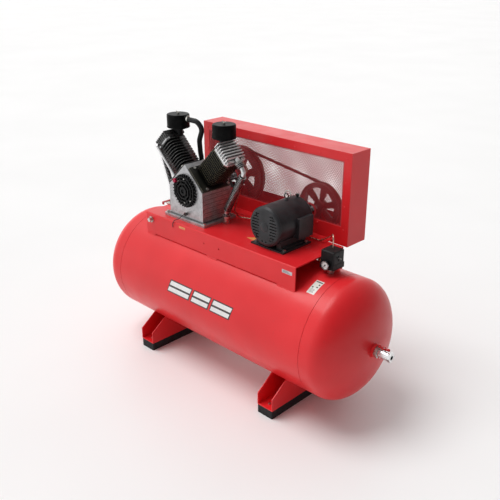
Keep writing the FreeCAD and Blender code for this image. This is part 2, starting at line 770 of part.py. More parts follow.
def oil_filler_cap():
    """Knurled cap screwed into the boss of the bearing cover."""
    c = oil_cap_place() - Y * 8.2
    parts = [rod(6.0, c + Y * 5, Y * -1, 6), rod(10.0, c, Y * -1, 14)]
    for i in range(8):
        a = math.pi * i / 4
        parts.append(rod(2.5, c + V(8.9 * math.cos(a), 0, 8.9 * math.sin(a)), Y * -1, 14))
    return fuse(parts)


def oil_cock_centre():
    return V(pump_x - case_half - 52, -80, plat_z + 44)


def oil_drain_cock():
    c = oil_cock_centre()
    parts = [rod(9.0, c + X * 49.3, X * -1, 38), regular(6, 12.0, c + X * 13, X * -1, 28),
             rod(8.0, c - X * 15, X * -1, 9), rod(6.0, c, Z, 15)]
    return fuse(parts).cut(rod(3.5 + run_gap, c - Z * 3, Z, 30))


def oil_drain_lever():
    """Flat handle that stands square to the cock when it is shut."""
    c = oil_cock_centre()
    stem = rod(3.5, c, Z, 20)
    arm = box(c.x - 7, c.x + 7, c.y - 46, c.y + 8, c.z + 15.4, c.z + 19.4)
    tip = box(c.x - 7, c.x + 7, c.y - 49, c.y - 45, c.z + 4, c.z + 19.4)
    handle = fuse([arm, tip])
    return fuse([stem, handle])


def sensor_lead():
    """Oil sensor in the front of the crankcase and its thin lead to the platform skirt."""
    c = V(pump_x + 4, case_y0 - 0.2, plat_z + 38)
    sensor = fuse([rod(7.0, c, Y * -1, 7), regular(6, 10.0, c - Y * 7, Y * -1, 8)])
    points = [c - Y * 15, c - Y * 30, V(c.x - 14, -164, plat_z + 18), V(c.x - 32, -180, plat_z + 9),
              V(c.x - 42, -186, plat_z - 12), V(c.x - 44, -183, plat_z - 32)]
    lead = pipe(points, [10.0, 14.0, 12.0, 10.0], 2.0)
    return Part.makeCompound([sensor, lead])


# ---------------------------------------------------------------- drive
def spoked_wheel(x, z, r, rim_depth, width, hub_r, hub_w, bore, spokes, spoke_w, web_t):
    """Grooved rim, hub and straight spokes on the line x, z along Y."""
    c = V(x, 0, z)
    y0 = belt_y - width / 2
    rim = ring(r, r - rim_depth, c + Y * y0, Y, width)
    hub = rod(hub_r, c + Y * (belt_y - hub_w / 2), Y, hub_w)
    parts = [rim, hub]
    for i in range(spokes):
        w0 = spoke_w * 0.62
        w1 = spoke_w * 1.25
        r1 = r - rim_depth + 4
        arm = prism([V(x - w0 / 2, belt_y - web_t / 2, z + hub_r - 6),
                     V(x + w0 / 2, belt_y - web_t / 2, z + hub_r - 6),
                     V(x + w1 / 2, belt_y - web_t / 2, z + r1),
                     V(x - w1 / 2, belt_y - web_t / 2, z + r1)], Y * web_t)
        arm.rotate(c, Y, 360.0 * i / spokes + 12)
        parts.append(arm)
    wheel = fuse(parts)
    top = belt_w / 2 + 0.6
    low = belt_w / 2 - belt_t * 0.34 + 0.6
    depth = belt_t + 0.6
    groove = turned_polygon([V(x + r + 1, belt_y - top, z), V(x + r + 1, belt_y + top, z),
                             V(x + r - depth, belt_y + low, z), V(x + r - depth, belt_y - low, z)],
                            c, Y)
    return wheel.cut(groove).cut(rod(bore, c + Y * (belt_y - 80), Y, 160))


def flywheel():
    return spoked_wheel(pump_x, crank_z, flywheel_r, 36.0, 50.0, 40.0, 56.0, 19.0, 6, 44.0, 14.0)


def motor_pulley():
    return spoked_wheel(motor_x, motor_z, pulley_r, 26.0, 38.0, 32.0, 42.0, shaft_r, 6, 34.0, 12.0)


def drive_belt():
    """V section swept round the two wheels along straight runs and arcs."""
    r1 = flywheel_r - belt_t / 2 + 0.6
    r2 = pulley_r - belt_t / 2 + 0.6
    c1 = V(pump_x, belt_y, crank_z)
    c2 = V(motor_x, belt_y, motor_z)
    along = (c2 - c1).normalize()
    up = V(-along.z, 0, along.x)
    lean = math.asin((r1 - r2) / (c2 - c1).Length)
    upper = along * math.sin(lean) + up * math.cos(lean)
    lower = along * math.sin(lean) - up * math.cos(lean)
    edges = [
        Part.LineSegment(c1 + upper * r1, c2 + upper * r2).toShape(),
        Part.Arc(c2 + upper * r2, c2 + along * r2, c2 + lower * r2).toShape(),
        Part.LineSegment(c2 + lower * r2, c1 + lower * r1).toShape(),
        Part.Arc(c1 + lower * r1, c1 - along * r1, c1 + upper * r1).toShape(),
    ]
    path = Part.Wire(edges)
    base = c1 + upper * r1
    wide = belt_w / 2
    slim = belt_w / 2 - belt_t * 0.34
    out = belt_t / 2
    section = Part.makePolygon([
        base + upper * out + Y * wide, base + upper * out - Y * wide,
        base - upper * out - Y * slim, base - upper * out + Y * slim,
        base + upper * out + Y * wide])
    return path.makePipeShell([section], True, False)


# ---------------------------------------------------------------- motor
def motor_frame():
    c = V(motor_x, motor_y0, motor_z)
    frame = ring(motor_r, motor_r - 4, c, Y, motor_y1 - motor_y0)
    frame = frame.cut(rod(5.2, V(276, 58, motor_z + 60), Z, 60))
    return frame.cut(rod(6.0 + side_gap, V(motor_x + reset_dx, reset_y, motor_z + 60), Z, 60))


def motor_front_bell():
    """Shallow end bell with slots on both sides and the front bearing's seat inside."""
    c = V(motor_x, 0, motor_z)
    y0 = motor_y0 - bell_depth
    seat = 26.05
    profile = [(seat, motor_y0 + 12), (seat, y0 + 5), (0.0, y0 + 5), (0.0, y0), (84.0, y0),
               (92.0, y0 + 2.5), (97.0, y0 + 8), (motor_r, motor_y0 - 3), (motor_r, motor_y0),
               (91.0, motor_y0), (88.0, y0 + 8), (32.0, y0 + 8), (32.0, motor_y0 + 12)]
    bell = turned_polygon([V(motor_x + r, y, motor_z) for r, y in profile], c, Y)
    for s in (-1, 1):
        for i in range(9):
            z = motor_z + (i - 4) * 15.0
            reach = math.sqrt(84.0 ** 2 - (z - motor_z) ** 2)
            inner = 33.0 + 4 * (i % 2)
            outer = max(inner + 12, reach - 3)
            x0, x1 = sorted((motor_x + s * inner, motor_x + s * outer))
            bell = bell.cut(box(x0, x1, y0 - 2, y0 + 12, z - 2.8, z + 2.8))
    for x in (-12, 12):
        bell = bell.cut(rod(4.5, V(motor_x + x, y0 - 1, motor_z - 74), Y, 12))
    return bell


def motor_rear_bell():
    c = V(motor_x, 0, motor_z)
    y = motor_y1
    profile = [(motor_r, y), (motor_r, y + 5), (90.0, y + 18), (40.0, y + 24), (shaft_r + 0.5, y + 24),
               (shaft_r + 0.5, y + 17), (26.05, y + 17), (26.05, y + 2), (32.0, y + 2),
               (36.0, y + 12), (84.0, y + 10), (91.0, y)]
    return turned_polygon([V(motor_x + r, q, motor_z) for r, q in profile], c, Y)


def motor_stator():
    stack = ring(motor_r - 4.1, 62.0, V(motor_x, -80, motor_z), Y, 150)
    coils = [ring(90.0, 66.0, V(motor_x, y, motor_z), Y, 18) for y in (-98, 70)]
    return fuse([stack] + coils)


def motor_rotor():
    c = V(motor_x, 0, motor_z)
    shaft_y = motor_y0 - 8
    parts = [rod(61.2, c + Y * -78, Y, 146), rod(shaft_r, c + Y * shaft_y, Y, belt_y + 25 - shaft_y)]
    parts.append(rod(34.0, c + Y * 90, Y, 4))
    for i in range(8):
        blade = box(motor_x - 1.5, motor_x + 1.5, 90, 106, motor_z + 20, motor_z + 60)
        blade.rotate(c, Y, 45.0 * i)
        parts.append(blade)
    return fuse(parts)


def motor_base():
    plate = box(motor_x - 107, motor_x + 107, -108, 100, plat_z, plat_z + 8)
    parts = [plate]
    for s in (-1, 1):
        foot_points = [(46, plat_z + 7), (88, plat_z + 7), (88, plat_z + 16), (74, plat_z + 22),
                       (70, motor_z - 50), (46, motor_z - 60)]
        points = [V(motor_x + s * dx, -88, z) for dx, z in foot_points]
        parts.append(prism(points, Y * 176))
    shape = fuse(parts).cut(rod(motor_r + 0.1, V(motor_x, -150, motor_z), Y, 300))
    for x, y in motor_bolt_places():
        shape = shape.cut(rod(5.5, V(x, y, plat_z - 1), Z, 12))
        shape = shape.cut(box(x - 14, x + 14, y - 14, y + 14, plat_z + 8, plat_z + 40))
    return shape


def conduit_box():
    outer = box(motor_x + 60, motor_x + 112, 0, 100, 836, 938)
    inner = box(motor_x + 50, motor_x + 109, 3, 97, 839, 935)
    shell = outer.cut(inner).cut(rod(motor_r + 0.2, V(motor_x, -20, motor_z), Y, 200))
    lid = box(motor_x + 112.2, motor_x + 115, -2, 102, 834, 940)
    gland = rod(11.0, V(motor_x + 98, 50, 822), Z, 13.8)
    return Part.makeCompound([shell, lid, gland])


def reset_button():
    c = V(motor_x + reset_dx, reset_y, motor_z + motor_r - 12)
    return fuse([rod(6.0, c, Z, 22), rod(9.5, c + Z * 19, Z, 8)])


# ---------------------------------------------------------------- belt guard
def guard_window():
    return (guard_x0 + guard_border, guard_x1 - guard_border,
            guard_z0 + guard_sill, guard_z1 - guard_border)


def guard_shroud():
    t = guard_t
    outer = box(guard_x0, guard_x1, guard_y0, guard_y1, guard_z0, guard_z1)
    inner = box(guard_x0 + t, guard_x1 - t, guard_y0 + t, guard_y1 - t, guard_z0 + t, guard_z1 - t)
    x0, x1, z0, z1 = guard_window()
    shape = outer.cut(inner).cut(box(x0, x1, guard_y0 - 1, guard_y1 + 1, z0, z1))
    tab = box(guard_x0 + 20, 446, 148, guard_y0 + 1, plat_z + 0.2, plat_z + 0.2 + t)
    shape = fuse([shape, tab])
    for x in (-440.0, -60.0, 120.0, 415.0):
        shape = shape.cut(rod(4.0, V(x, 166, plat_z - 1), Z, 10))
    return shape


def guard_panels():
    """Perforated sheets behind the front and back borders, drawn here as plain sheets."""
    x0, x1, z0, z1 = guard_window()
    lap = 14.0
    front_y = guard_y0 + guard_t + 0.1
    back_y = guard_y1 - guard_t - 1.6
    panels = []
    for y in (front_y, back_y):
        panels.append(box(x0 - lap, x1 + lap, y, y + 1.5, z0 - lap, z1 + lap))
    for x, z, r in ((pump_x, crank_z, 58.0), (motor_x, motor_z, 30.0)):
        panels[0] = panels[0].cut(rod(r, V(x, front_y - 5, z), Y, 20))
    return Part.makeCompound(panels)


# ---------------------------------------------------------------- pressure switch
def switch_box():
    x0, x1 = switch_x - 39, switch_x + 41
    y0, y1 = switch_y - 36, switch_y + 46
    base = box(x0, x1, y0, y1, switch_z0, switch_z0 + 26)
    cover = box(x0 + 1, x1 - 1, y0 + 1, y1 - 1, switch_z0 + 26.2, switch_z1)
    cover = cover.makeFillet(6, [e for e in cover.Edges if e.BoundBox.ZMax > switch_z0 + 30])
    well = box(x0 + 4, x1 - 4, y0 + 4, y1 - 4, switch_z0 + 20, switch_z1 - 4)
    cover = cover.cut(well)
    base = base.cut(well)
    base = base.cut(rod(13.1, V(switch_x, switch_y, switch_z0 - 1), Z, 8))
    base = base.cut(rod(5.1, V(switch_x, y0 - 1, switch_z0 + 14), Y, 20))
    base = base.cut(rod(9.1, V(x0 - 1, switch_y, switch_z0 + 14), X, 14))
    cover = cover.cut(box(x1 - 8, x1 + 2, switch_y - 3, switch_y + 3, switch_z0 + 40, switch_z0 + 72))
    cover = cover.cut(rod(3.6, V(switch_x, switch_y + 7, switch_z1 - 10), Z, 20))
    return Part.makeCompound([base, cover])


def switch_lever():
    x1 = switch_x + 41
    pivot = V(x1 - 9, switch_y - 2.2, switch_z0 + 56)
    arm = box(x1 - 9, x1 + 16, switch_y - 2.2, switch_y + 2.2, switch_z0 + 53, switch_z0 + 59)
    return fuse([rod(5.0, pivot, Y, 4.4), arm])


def gauge_centre():
    return V(switch_x + 2, switch_y - 54, switch_z0 + 24)


def gauge_case():
    """Round pressure gauge on the front port, open at the dial."""
    c = gauge_centre()
    case = rod(22.0, c, Y, 15).cut(rod(19.8, c - Y, Y, 5.5))
    port = V(switch_x, switch_y - 39, switch_z0 + 14)
    stem = rod(5.0, port, Y, 12)
    post = rod(1.4, c + Y * 1.4, Y, 4)
    return fuse([case, stem, post])


def gauge_needle():
    c = gauge_centre() + Y * 1.6
    hub = ring(3.2, 1.4 + run_gap, c, Y, 1.4)
    arm = box(c.x - 0.9, c.x + 0.9, c.y, c.y + 1.0, c.z - 17, c.z - 2.4)
    tail = box(c.x - 1.2, c.x + 1.2, c.y, c.y + 1.0, c.z + 2.4, c.z + 6)
    needle = fuse([hub, arm, tail])
    needle.rotate(c, Y, 40)
    return needle


def safety_valve():
    c = V(switch_x - 39, switch_y, switch_z0 + 14)
    body = fuse([rod(9.0, c + X * 8, X * -1, 14), regular(6, 12.0, c - X * 5, X * -1, 9),
                 rod(9.0, c - X * 14, X * -1, 16)])
    return body.cut(rod(3.0 + run_gap, c - X * 12, X * -1, 20))


def safety_ring():
    c = V(switch_x - 39 - 30, switch_y, switch_z0 + 14)
    stem = rod(3.0, c + X * 14, X * -1, 22)
    return fuse([stem, Part.makeTorus(8.0, 1.6, c - X * 16, Y)])


def build():
    return {
        "tank_shell": tank_shell(),
        "tank_head_left": tank_head(-1),
        "tank_head_right": tank_head(1),
        "foot_left": foot(-1),
        "foot_right": foot(1),
        "foot_pads": foot_pads(),
        "platform": platform(),
        "pipe_fittings": pipe_fittings(),
        "frame_bolts": frame_bolts(),
        "drain_valve": drain_valve(),
        "drain_key": drain_key(),
        "ball_valve_body": ball_valve_body(),
        "ball_valve_ball": ball_valve_ball(),
        "ball_valve_lever": ball_valve_lever(),
        "crankcase": crankcase(),
        "bearing_cover": bearing_cover(),
        "rear_housing": rear_housing(),
        "ball_bearings": ball_bearings(),
        "crankshaft": crankshaft(),
        "rod_left": conrod(-1),
        "rod_right": conrod(1),
        "piston_left": piston(-1),
        "piston_right": piston(1),
        "cylinder_left": cylinder(-1, 11),
        "cylinder_right": cylinder(1, 13),
        "valve_plates": valve_plates(),
        "cylinder_head_left": cylinder_head(-1),
        "cylinder_head_right": cylinder_head(1),
        "pump_fasteners": pump_fasteners(),
        "intake_necks": intake_necks(),
        "filter_can_left": filter_can(-1),
        "filter_can_right": filter_can(1),
        "filter_elements": filter_elements(),
        "breather_hose": breather_hose(),
        "delivery_tube_left": delivery_tube(-1),
        "delivery_tube_right": delivery_tube(1),
        "small_pipes": small_pipes(),
        "oil_filler_cap": oil_filler_cap(),
        "oil_drain_lever": oil_drain_lever(),
        "sensor_lead": sensor_lead(),
        "flywheel": flywheel(),
        "drive_belt": drive_belt(),
        "motor_pulley": motor_pulley(),
        "motor_frame": motor_frame(),
        "motor_front_bell": motor_front_bell(),
        "motor_rear_bell": motor_rear_bell(),
        "motor_stator": motor_stator(),
        "motor_rotor": motor_rotor(),
        "motor_base": motor_base(),
        "conduit_box": conduit_box(),
        "reset_button": reset_button(),
        "guard_shroud": guard_shroud(),
        "guard_panels": guard_panels(),
        "switch_box": switch_box(),
        "switch_lever": switch_lever(),
        "gauge_case": gauge_case(),
        "gauge_needle": gauge_needle(),
        "safety_valve": safety_valve(),
        "safety_ring": safety_ring(),
    }


def main():
    os.makedirs("parts", exist_ok=True)
    for name, shape in build().items():
        for i, solid in enumerate(shape.Solids):
            if not solid.isValid():
                print("invalid solid", name, i)
        shape.exportStep("parts/" + name + ".step")
        b = shape.BoundBox
        print(f"{name}: {len(shape.Solids)} solids, volume {shape.Volume:.0f}, "
              f"x {b.XMin:.1f}..{b.XMax:.1f} y {b.YMin:.1f}..{b.YMax:.1f} z {b.ZMin:.1f}..{b.ZMax:.1f}")


main()
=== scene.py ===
import math
import bpy
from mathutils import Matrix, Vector


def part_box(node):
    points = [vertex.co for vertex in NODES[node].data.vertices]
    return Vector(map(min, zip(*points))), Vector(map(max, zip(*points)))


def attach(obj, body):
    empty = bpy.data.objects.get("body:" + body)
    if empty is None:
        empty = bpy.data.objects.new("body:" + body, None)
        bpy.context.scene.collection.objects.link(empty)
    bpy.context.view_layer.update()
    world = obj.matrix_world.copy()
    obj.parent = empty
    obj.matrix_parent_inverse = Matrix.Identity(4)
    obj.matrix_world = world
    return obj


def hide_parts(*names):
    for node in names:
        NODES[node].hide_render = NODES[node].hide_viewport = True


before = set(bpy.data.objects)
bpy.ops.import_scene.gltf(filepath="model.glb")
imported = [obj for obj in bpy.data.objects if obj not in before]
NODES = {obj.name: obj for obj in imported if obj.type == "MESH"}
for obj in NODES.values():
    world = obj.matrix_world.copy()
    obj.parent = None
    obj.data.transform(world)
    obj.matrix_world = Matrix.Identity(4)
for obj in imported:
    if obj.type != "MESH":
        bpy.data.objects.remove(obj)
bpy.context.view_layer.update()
UP = Vector((0, 0, 1))

# Places that several pieces share, from the frame, in metres.
tank_lo, tank_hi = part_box("tank_shell")
TANK_R = (tank_hi.y - tank_lo.y) / 2
TANK_Z = (tank_lo.z + tank_hi.z) / 2
plat_lo, plat_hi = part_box("platform")

# Places that no box of the frame gives.
PORT_HEIGHT = 0.324             # of a delivery port, up its bank from the crank's axis
HEAD_HALF = 0.0622              # half a cylinder head's width, across its bank
BREATHER = (-0.368, 0.0725)     # x and y of the breather hose's lower end
BASE_HEIGHT = 0.1101            # of the top of a cylinder's foot, up its bank
CAN_R = 0.061                   # a filter can's radius
HOSE_R = 0.0135                 # the breather hose's radius
COUPLING_R = 0.034              # weld ring round the coupling in each tank head
COUPLING_INSET = 0.0165         # of that ring, from the end of the head's box
SADDLE_HALF = 0.196             # half a foot's width where it meets the shell
SKIRT_WELDS = ((plat_lo.x + 0.004, -0.486), (-0.061, 0.009), (0.428, plat_hi.x - 0.004))

# Strengths of the studio sky, brighter on the left and near the floor.
SKY_LEFT = 1.15
SKY_RIGHT = 0.18
SKY_LOW = 1.15
SKY_HIGH = 0.75


# ------------------------------------------------------------------ materials
SOCKETS = {
    "metallic": "Metallic", "coat": "Coat Weight", "coat_rough": "Coat Roughness",
    "level": "Specular IOR Level", "sheen": "Sheen Weight",
}
WAVE_SPACING = 0.314            # between bands of a wave texture whose scale is 1
FLAT, SHARP = 0.97, 0.86        # cosines between the true and the bevelled normal


class Look:
    """A node material on object coordinates, in metres, built up one effect at a time."""

    def __init__(self, name, **fixed):
        self.mat = bpy.data.materials.new(name)
        self.mat.use_nodes = True
        self.tree = self.mat.node_tree
        self.tree.nodes.clear()
        self.shader = self.node("ShaderNodeBsdfPrincipled")
        out = self.node("ShaderNodeOutputMaterial")
        self.join(self.shader.outputs[0], out.inputs["Surface"])
        self.place = self.node("ShaderNodeTexCoord").outputs["Object"]
        self.normal = None
        for key, value in fixed.items():
            self.shader.inputs[SOCKETS[key]].default_value = value

    def node(self, kind):
        return self.tree.nodes.new(kind)

    def join(self, a, b):
        self.tree.links.new(a, b)

    def noise(self, size, detail=3.0, stretch=(1, 1, 1), rough=0.55):
        """Noise whose features are about size metres across, longer where stretch is small."""
        scale = self.node("ShaderNodeMapping")
        scale.inputs["Scale"].default_value = stretch
        self.join(self.place, scale.inputs["Vector"])
        n = self.node("ShaderNodeTexNoise")
        n.inputs["Scale"].default_value = 1.0 / size
        n.inputs["Detail"].default_value = detail
        n.inputs["Roughness"].default_value = rough
        self.join(scale.outputs[0], n.inputs["Vector"])
        return n.outputs[0]

    def cells(self, size):
        """Rounded pits about size metres apart."""
        v = self.node("ShaderNodeTexVoronoi")
        v.inputs["Scale"].default_value = 1.0 / size
        self.join(self.place, v.inputs["Vector"])
        return v.outputs["Distance"]

    def bands(self, size, axis):
        """Fine parallel lines across one axis."""
        w = self.node("ShaderNodeTexWave")
        w.wave_type = "BANDS"
        w.bands_direction = axis
        w.inputs["Scale"].default_value = WAVE_SPACING / size
        w.inputs["Distortion"].default_value = 0.6
        self.join(self.place, w.inputs["Vector"])
        return w.outputs["Fac"]

    def along(self, axis):
        """Place along one axis."""
        s = self.node("ShaderNodeSeparateXYZ")
        self.join(self.place, s.inputs[0])
        return s.outputs[axis]

    def spread(self, value, lo, hi, to_lo=0.0, to_hi=1.0):
        """Value from lo to hi, mapped to run from to_lo to to_hi."""
        m = self.node("ShaderNodeMapRange")
        m.inputs["From Min"].default_value = lo
        m.inputs["From Max"].default_value = hi
        m.inputs["To Min"].default_value = to_lo
        m.inputs["To Max"].default_value = to_hi
        self.join(value, m.inputs["Value"])
        return m.outputs["Result"]

    def ramp(self, fac, *stops):
        """Colour from stops of (place from 0 to 1, colour)."""
        r = self.node("ShaderNodeValToRGB")
        elements = r.color_ramp.elements
        while len(elements) < len(stops):
            elements.new(0.5)
        for element, (at, colour) in zip(elements, stops):
            element.position = at
            element.color = (*colour, 1.0)
        self.join(fac, r.inputs[0])
        return r.outputs[0]

    def mix(self, fac, a, b):
        m = self.node("ShaderNodeMixRGB")
        self.join(fac, m.inputs["Fac"])
        for socket, value in (("Color1", a), ("Color2", b)):
            if isinstance(value, tuple):
                m.inputs[socket].default_value = (*value, 1.0)
            else:
                self.join(value, m.inputs[socket])
        return m.outputs[0]

    def edges(self, width):
        """About 1 on outside edges narrower than width, 0 on flat faces."""
        bevel = self.node("ShaderNodeBevel")
        bevel.samples = 4
        bevel.inputs["Radius"].default_value = width
        true = self.node("ShaderNodeNewGeometry").outputs["Normal"]
        dot = self.node("ShaderNodeVectorMath")
        dot.operation = "DOT_PRODUCT"
        self.join(bevel.outputs[0], dot.inputs[0])
        self.join(true, dot.inputs[1])
        return self.spread(dot.outputs["Value"], FLAT, SHARP)

    def hollows(self, reach):
        """Ambient occlusion: 1 in the open, falling to 0 deep between fins and in corners; a mask
        for painted shade.
        """
        shade = self.node("ShaderNodeAmbientOcclusion")
        shade.samples = 6
        shade.only_local = True
        shade.inputs["Distance"].default_value = reach
        return shade.outputs["AO"]

    def colour(self, value):
        self.join(value, self.shader.inputs["Base Color"])
        return self

    def rough(self, fac, lo, hi):
        """Roughness from lo to hi over the middle of a noise."""
        self.join(self.spread(fac, 0.3, 0.7, lo, hi), self.shader.inputs["Roughness"])
        return self

    def soft_edges(self, radius):
        bevel = self.node("ShaderNodeBevel")
        bevel.samples = 4
        bevel.inputs["Radius"].default_value = radius
        self.normal = bevel.outputs[0]
        self.join(self.normal, self.shader.inputs["Normal"])
        return self

    def relief(self, height, depth):
        """Bumps up to depth metres, on top of those already made."""
        b = self.node("ShaderNodeBump")
        b.inputs["Distance"].default_value = depth
        self.join(height, b.inputs["Height"])
        if self.normal is not None:
            self.join(self.normal, b.inputs["Normal"])
        self.normal = b.outputs[0]
        self.join(self.normal, self.shader.inputs["Normal"])
        return self


def enamel(name, dark, light, scuff):
    """Sprayed gloss enamel: slow shade changes, orange peel, faint dust and dull patches."""
    look = Look(name, level=0.34, coat=0.10, coat_rough=0.14)
    base = look.ramp(look.noise(0.35, 2.0), (0.35, dark), (0.65, light))
    specks = look.spread(look.noise(0.012, 6.0), 0.62, 0.74, 0.0, 0.35)
    look.colour(look.mix(specks, base, scuff))
    look.rough(look.noise(0.08, 5.0), 0.30, 0.42)
    look.soft_edges(0.0012)
    look.relief(look.noise(0.0045, 1.0), 0.00007)
    return look.relief(look.noise(0.10, 1.0), 0.0006).mat


def red_enamel():
    return enamel("red_enamel", (0.70, 0.014, 0.019), (0.78, 0.020, 0.026),
                  scuff=(0.52, 0.030, 0.032))


def mesh_enamel():
    look = Look("mesh_enamel", coat=0.15)
    look.colour(look.ramp(look.noise(0.05),
                          (0.35, (0.50, 0.030, 0.040)), (0.7, (0.60, 0.050, 0.060))))
    look.rough(look.noise(0.02), 0.38, 0.55)
    return look.relief(look.noise(0.003), 0.00008).mat


def black_paint(name, gloss, grain, depth, edge=(0.045, 0.042, 0.040), lift=1.0, level=0.16):
    """Black paint over a casting or pressing, greyer where dust has settled."""
    look = Look(name, level=level)
    dark = (0.003 * lift, 0.003 * lift, 0.0034 * lift)
    light = (0.008 * lift, 0.008 * lift, 0.0088 * lift)
    base = look.ramp(look.noise(0.06, 4.0), (0.3, dark), (0.7, light))
    dust = look.spread(look.noise(0.02, 7.0), 0.52, 0.75, 0.0, 0.35)
    worn = look.mix(dust, base, (0.022, 0.020, 0.019))
    look.colour(look.mix(look.edges(0.0009), worn, edge))
    look.rough(look.noise(0.03, 5.0), gloss, gloss + 0.14)
    look.soft_edges(0.0008)
    return look.relief(look.noise(grain, 2.0), depth).mat


def cast_metal(name, dark, light, gloss, metallic, depth, edge=None, painted_shade=0.0, reach=0.012):
    """Sand-cast surface: pitted grain, cloudy tone, bright edges that stand partly for wear and
    partly for painted highlights, and painted shade between fins.
    """
    look = Look(name, metallic=metallic)
    grain = look.noise(0.0022, 4.0)
    base = look.ramp(look.noise(0.03, 6.0), (0.32, dark), (0.68, light))
    film = look.spread(look.noise(0.009, 6.0), 0.56, 0.74, 0.0, 0.45)
    tone = look.mix(film, base, tuple(c * 0.55 for c in dark))
    if edge:
        # Lighter colour along outside edges, partly wear and partly painted highlight.
        tone = look.mix(look.edges(0.0012), tone, edge)
    if painted_shade:
        # Painted shade: colour darkened where ambient occlusion finds hollows between fins and in
        # corners.
        shade_colour = tuple(c * (1 - painted_shade) for c in dark)
        tone = look.mix(look.spread(look.hollows(reach), 0.72, 0.96), shade_colour, tone)
    look.colour(tone)
    look.rough(look.noise(0.012, 4.0), gloss, gloss + 0.16)
    look.soft_edges(0.0010)
    look.relief(look.cells(0.0016), depth * 0.5)
    return look.relief(grain, depth).mat


def turned_metal(name, dark, light, gloss):
    """Machined or plated metal with hairline marks and smudges."""
    look = Look(name, metallic=1.0)
    look.colour(look.ramp(look.noise(0.006, 5.0), (0.3, dark), (0.7, light)))
    look.rough(look.noise(0.004, 5.0, (1, 1, 6)), gloss, gloss + 0.14)
    look.soft_edges(0.0004)
    return look.relief(look.noise(0.0006, 2.0, (1, 1, 5)), 0.00002).mat


def finned_alloy():
    """Drawn alloy tube and fins: bright rims, with painted shade nearly black between the fins."""
    look = Look("finned_alloy", metallic=0.85)
    bright = look.ramp(look.noise(0.008, 5.0),
                       (0.3, (0.62, 0.62, 0.63)), (0.72, (0.90, 0.90, 0.90)))
    # Painted shade: near-black colour wherever ambient occlusion finds the gaps between fins.
    in_the_open = look.spread(look.hollows(0.012), 0.70, 0.94)
    look.colour(look.mix(in_the_open, (0.010, 0.009, 0.009), bright))
    look.rough(look.noise(0.003, 4.0), 0.24, 0.42)
    return look.relief(look.noise(0.0012, 3.0), 0.00006).mat


def small_pipe_metal():
    """The vent pipe on the left is bright alloy, and the thin unloader pipe is copper."""
    look = Look("small_pipe_metal", metallic=1.0)
    left = look.spread(look.along("X"), -0.20, -0.18)
    copper = look.ramp(look.noise(0.004, 4.0), (0.3, (0.40, 0.24, 0.19)), (0.7, (0.66, 0.42, 0.33)))
    alloy = look.ramp(look.noise(0.006, 4.0), (0.3, (0.55, 0.55, 0.56)), (0.7, (0.82, 0.82, 0.83)))
    look.colour(look.mix(left, alloy, copper))
    look.rough(look.noise(0.005, 4.0), 0.2, 0.36)
    return look.relief(look.noise(0.002, 3.0), 0.00003).mat


def rubber(name, dark, light, gloss, grain):
    look = Look(name, level=0.2)
    look.colour(look.ramp(look.noise(0.02, 6.0), (0.3, dark), (0.75, light)))
    look.rough(look.noise(0.01, 5.0), gloss, gloss + 0.15)
    look.relief(look.noise(grain, 3.0), 0.00012)
    return look.relief(look.cells(grain * 2), 0.00008).mat


def belt_rubber():
    """V-belt: fabric-covered rubber, ribbed across its width."""
    look = Look("belt_rubber", level=0.3)
    weave = look.bands(0.0022, "Y")
    look.colour(look.ramp(weave, (0.2, (0.012, 0.010, 0.010)), (0.9, (0.032, 0.027, 0.026))))
    look.rough(look.noise(0.01), 0.6, 0.78)
    return look.relief(weave, 0.0002).mat


def plastic(name, dark, light, gloss, grain, depth):
    look = Look(name, level=0.25)
    look.colour(look.ramp(look.noise(0.03, 4.0), (0.3, dark), (0.7, light)))
    look.rough(look.noise(0.01, 5.0), gloss, gloss + 0.12)
    look.soft_edges(0.0008)
    return look.relief(look.noise(grain, 3.0), depth).mat


def felt():
    look = Look("filter_felt", sheen=0.4)
    look.colour(look.ramp(look.noise(0.001, 6.0),
                          (0.3, (0.50, 0.44, 0.32)), (0.7, (0.72, 0.66, 0.52))))
    look.rough(look.noise(0.004), 0.8, 0.95)
    return look.relief(look.bands(0.003, "X"), 0.0006).mat


def windings():
    """Laminated core with enamelled copper coils at its ends."""
    look = Look("stator_windings", metallic=0.9)
    laminations = look.bands(0.0012, "Y")
    core = look.ramp(laminations, (0.2, (0.10, 0.10, 0.11)), (0.8, (0.30, 0.29, 0.28)))
    copper = look.ramp(look.noise(0.002, 4.0), (0.3, (0.32, 0.13, 0.05)), (0.7, (0.62, 0.28, 0.12)))
    ends = look.spread(look.along("Y"), 0.070, 0.071)
    look.colour(look.mix(ends, core, copper))
    look.rough(look.noise(0.003), 0.35, 0.5)
    return look.relief(laminations, 0.0001).mat


def sticker(name, colour, edge):
    """Printed vinyl with a slightly worn, yellowed print."""
    look = Look(name, coat=0.2, coat_rough=0.2)
    wear = look.spread(look.noise(0.006, 6.0), 0.58, 0.75, 0.0, 0.5)
    look.colour(look.mix(wear, look.ramp(look.noise(0.04), (0.3, colour), (0.7, edge)), edge))
    look.rough(look.noise(0.02), 0.28, 0.42)
    return look.relief(look.noise(0.003), 0.00003).mat


def floor_white():
    look = Look("floor_white")
    look.colour(look.ramp(look.noise(1.5, 2.0),
                          (0.3, (0.90, 0.895, 0.895)), (0.7, (0.93, 0.925, 0.925))))
    look.rough(look.noise(0.4), 0.34, 0.40)
    return look.mat


def dress(mat, *names):
    """Gives nodes of the frame their material."""
    for name in names:
        for slot in NODES[name].material_slots:
            slot.material = mat


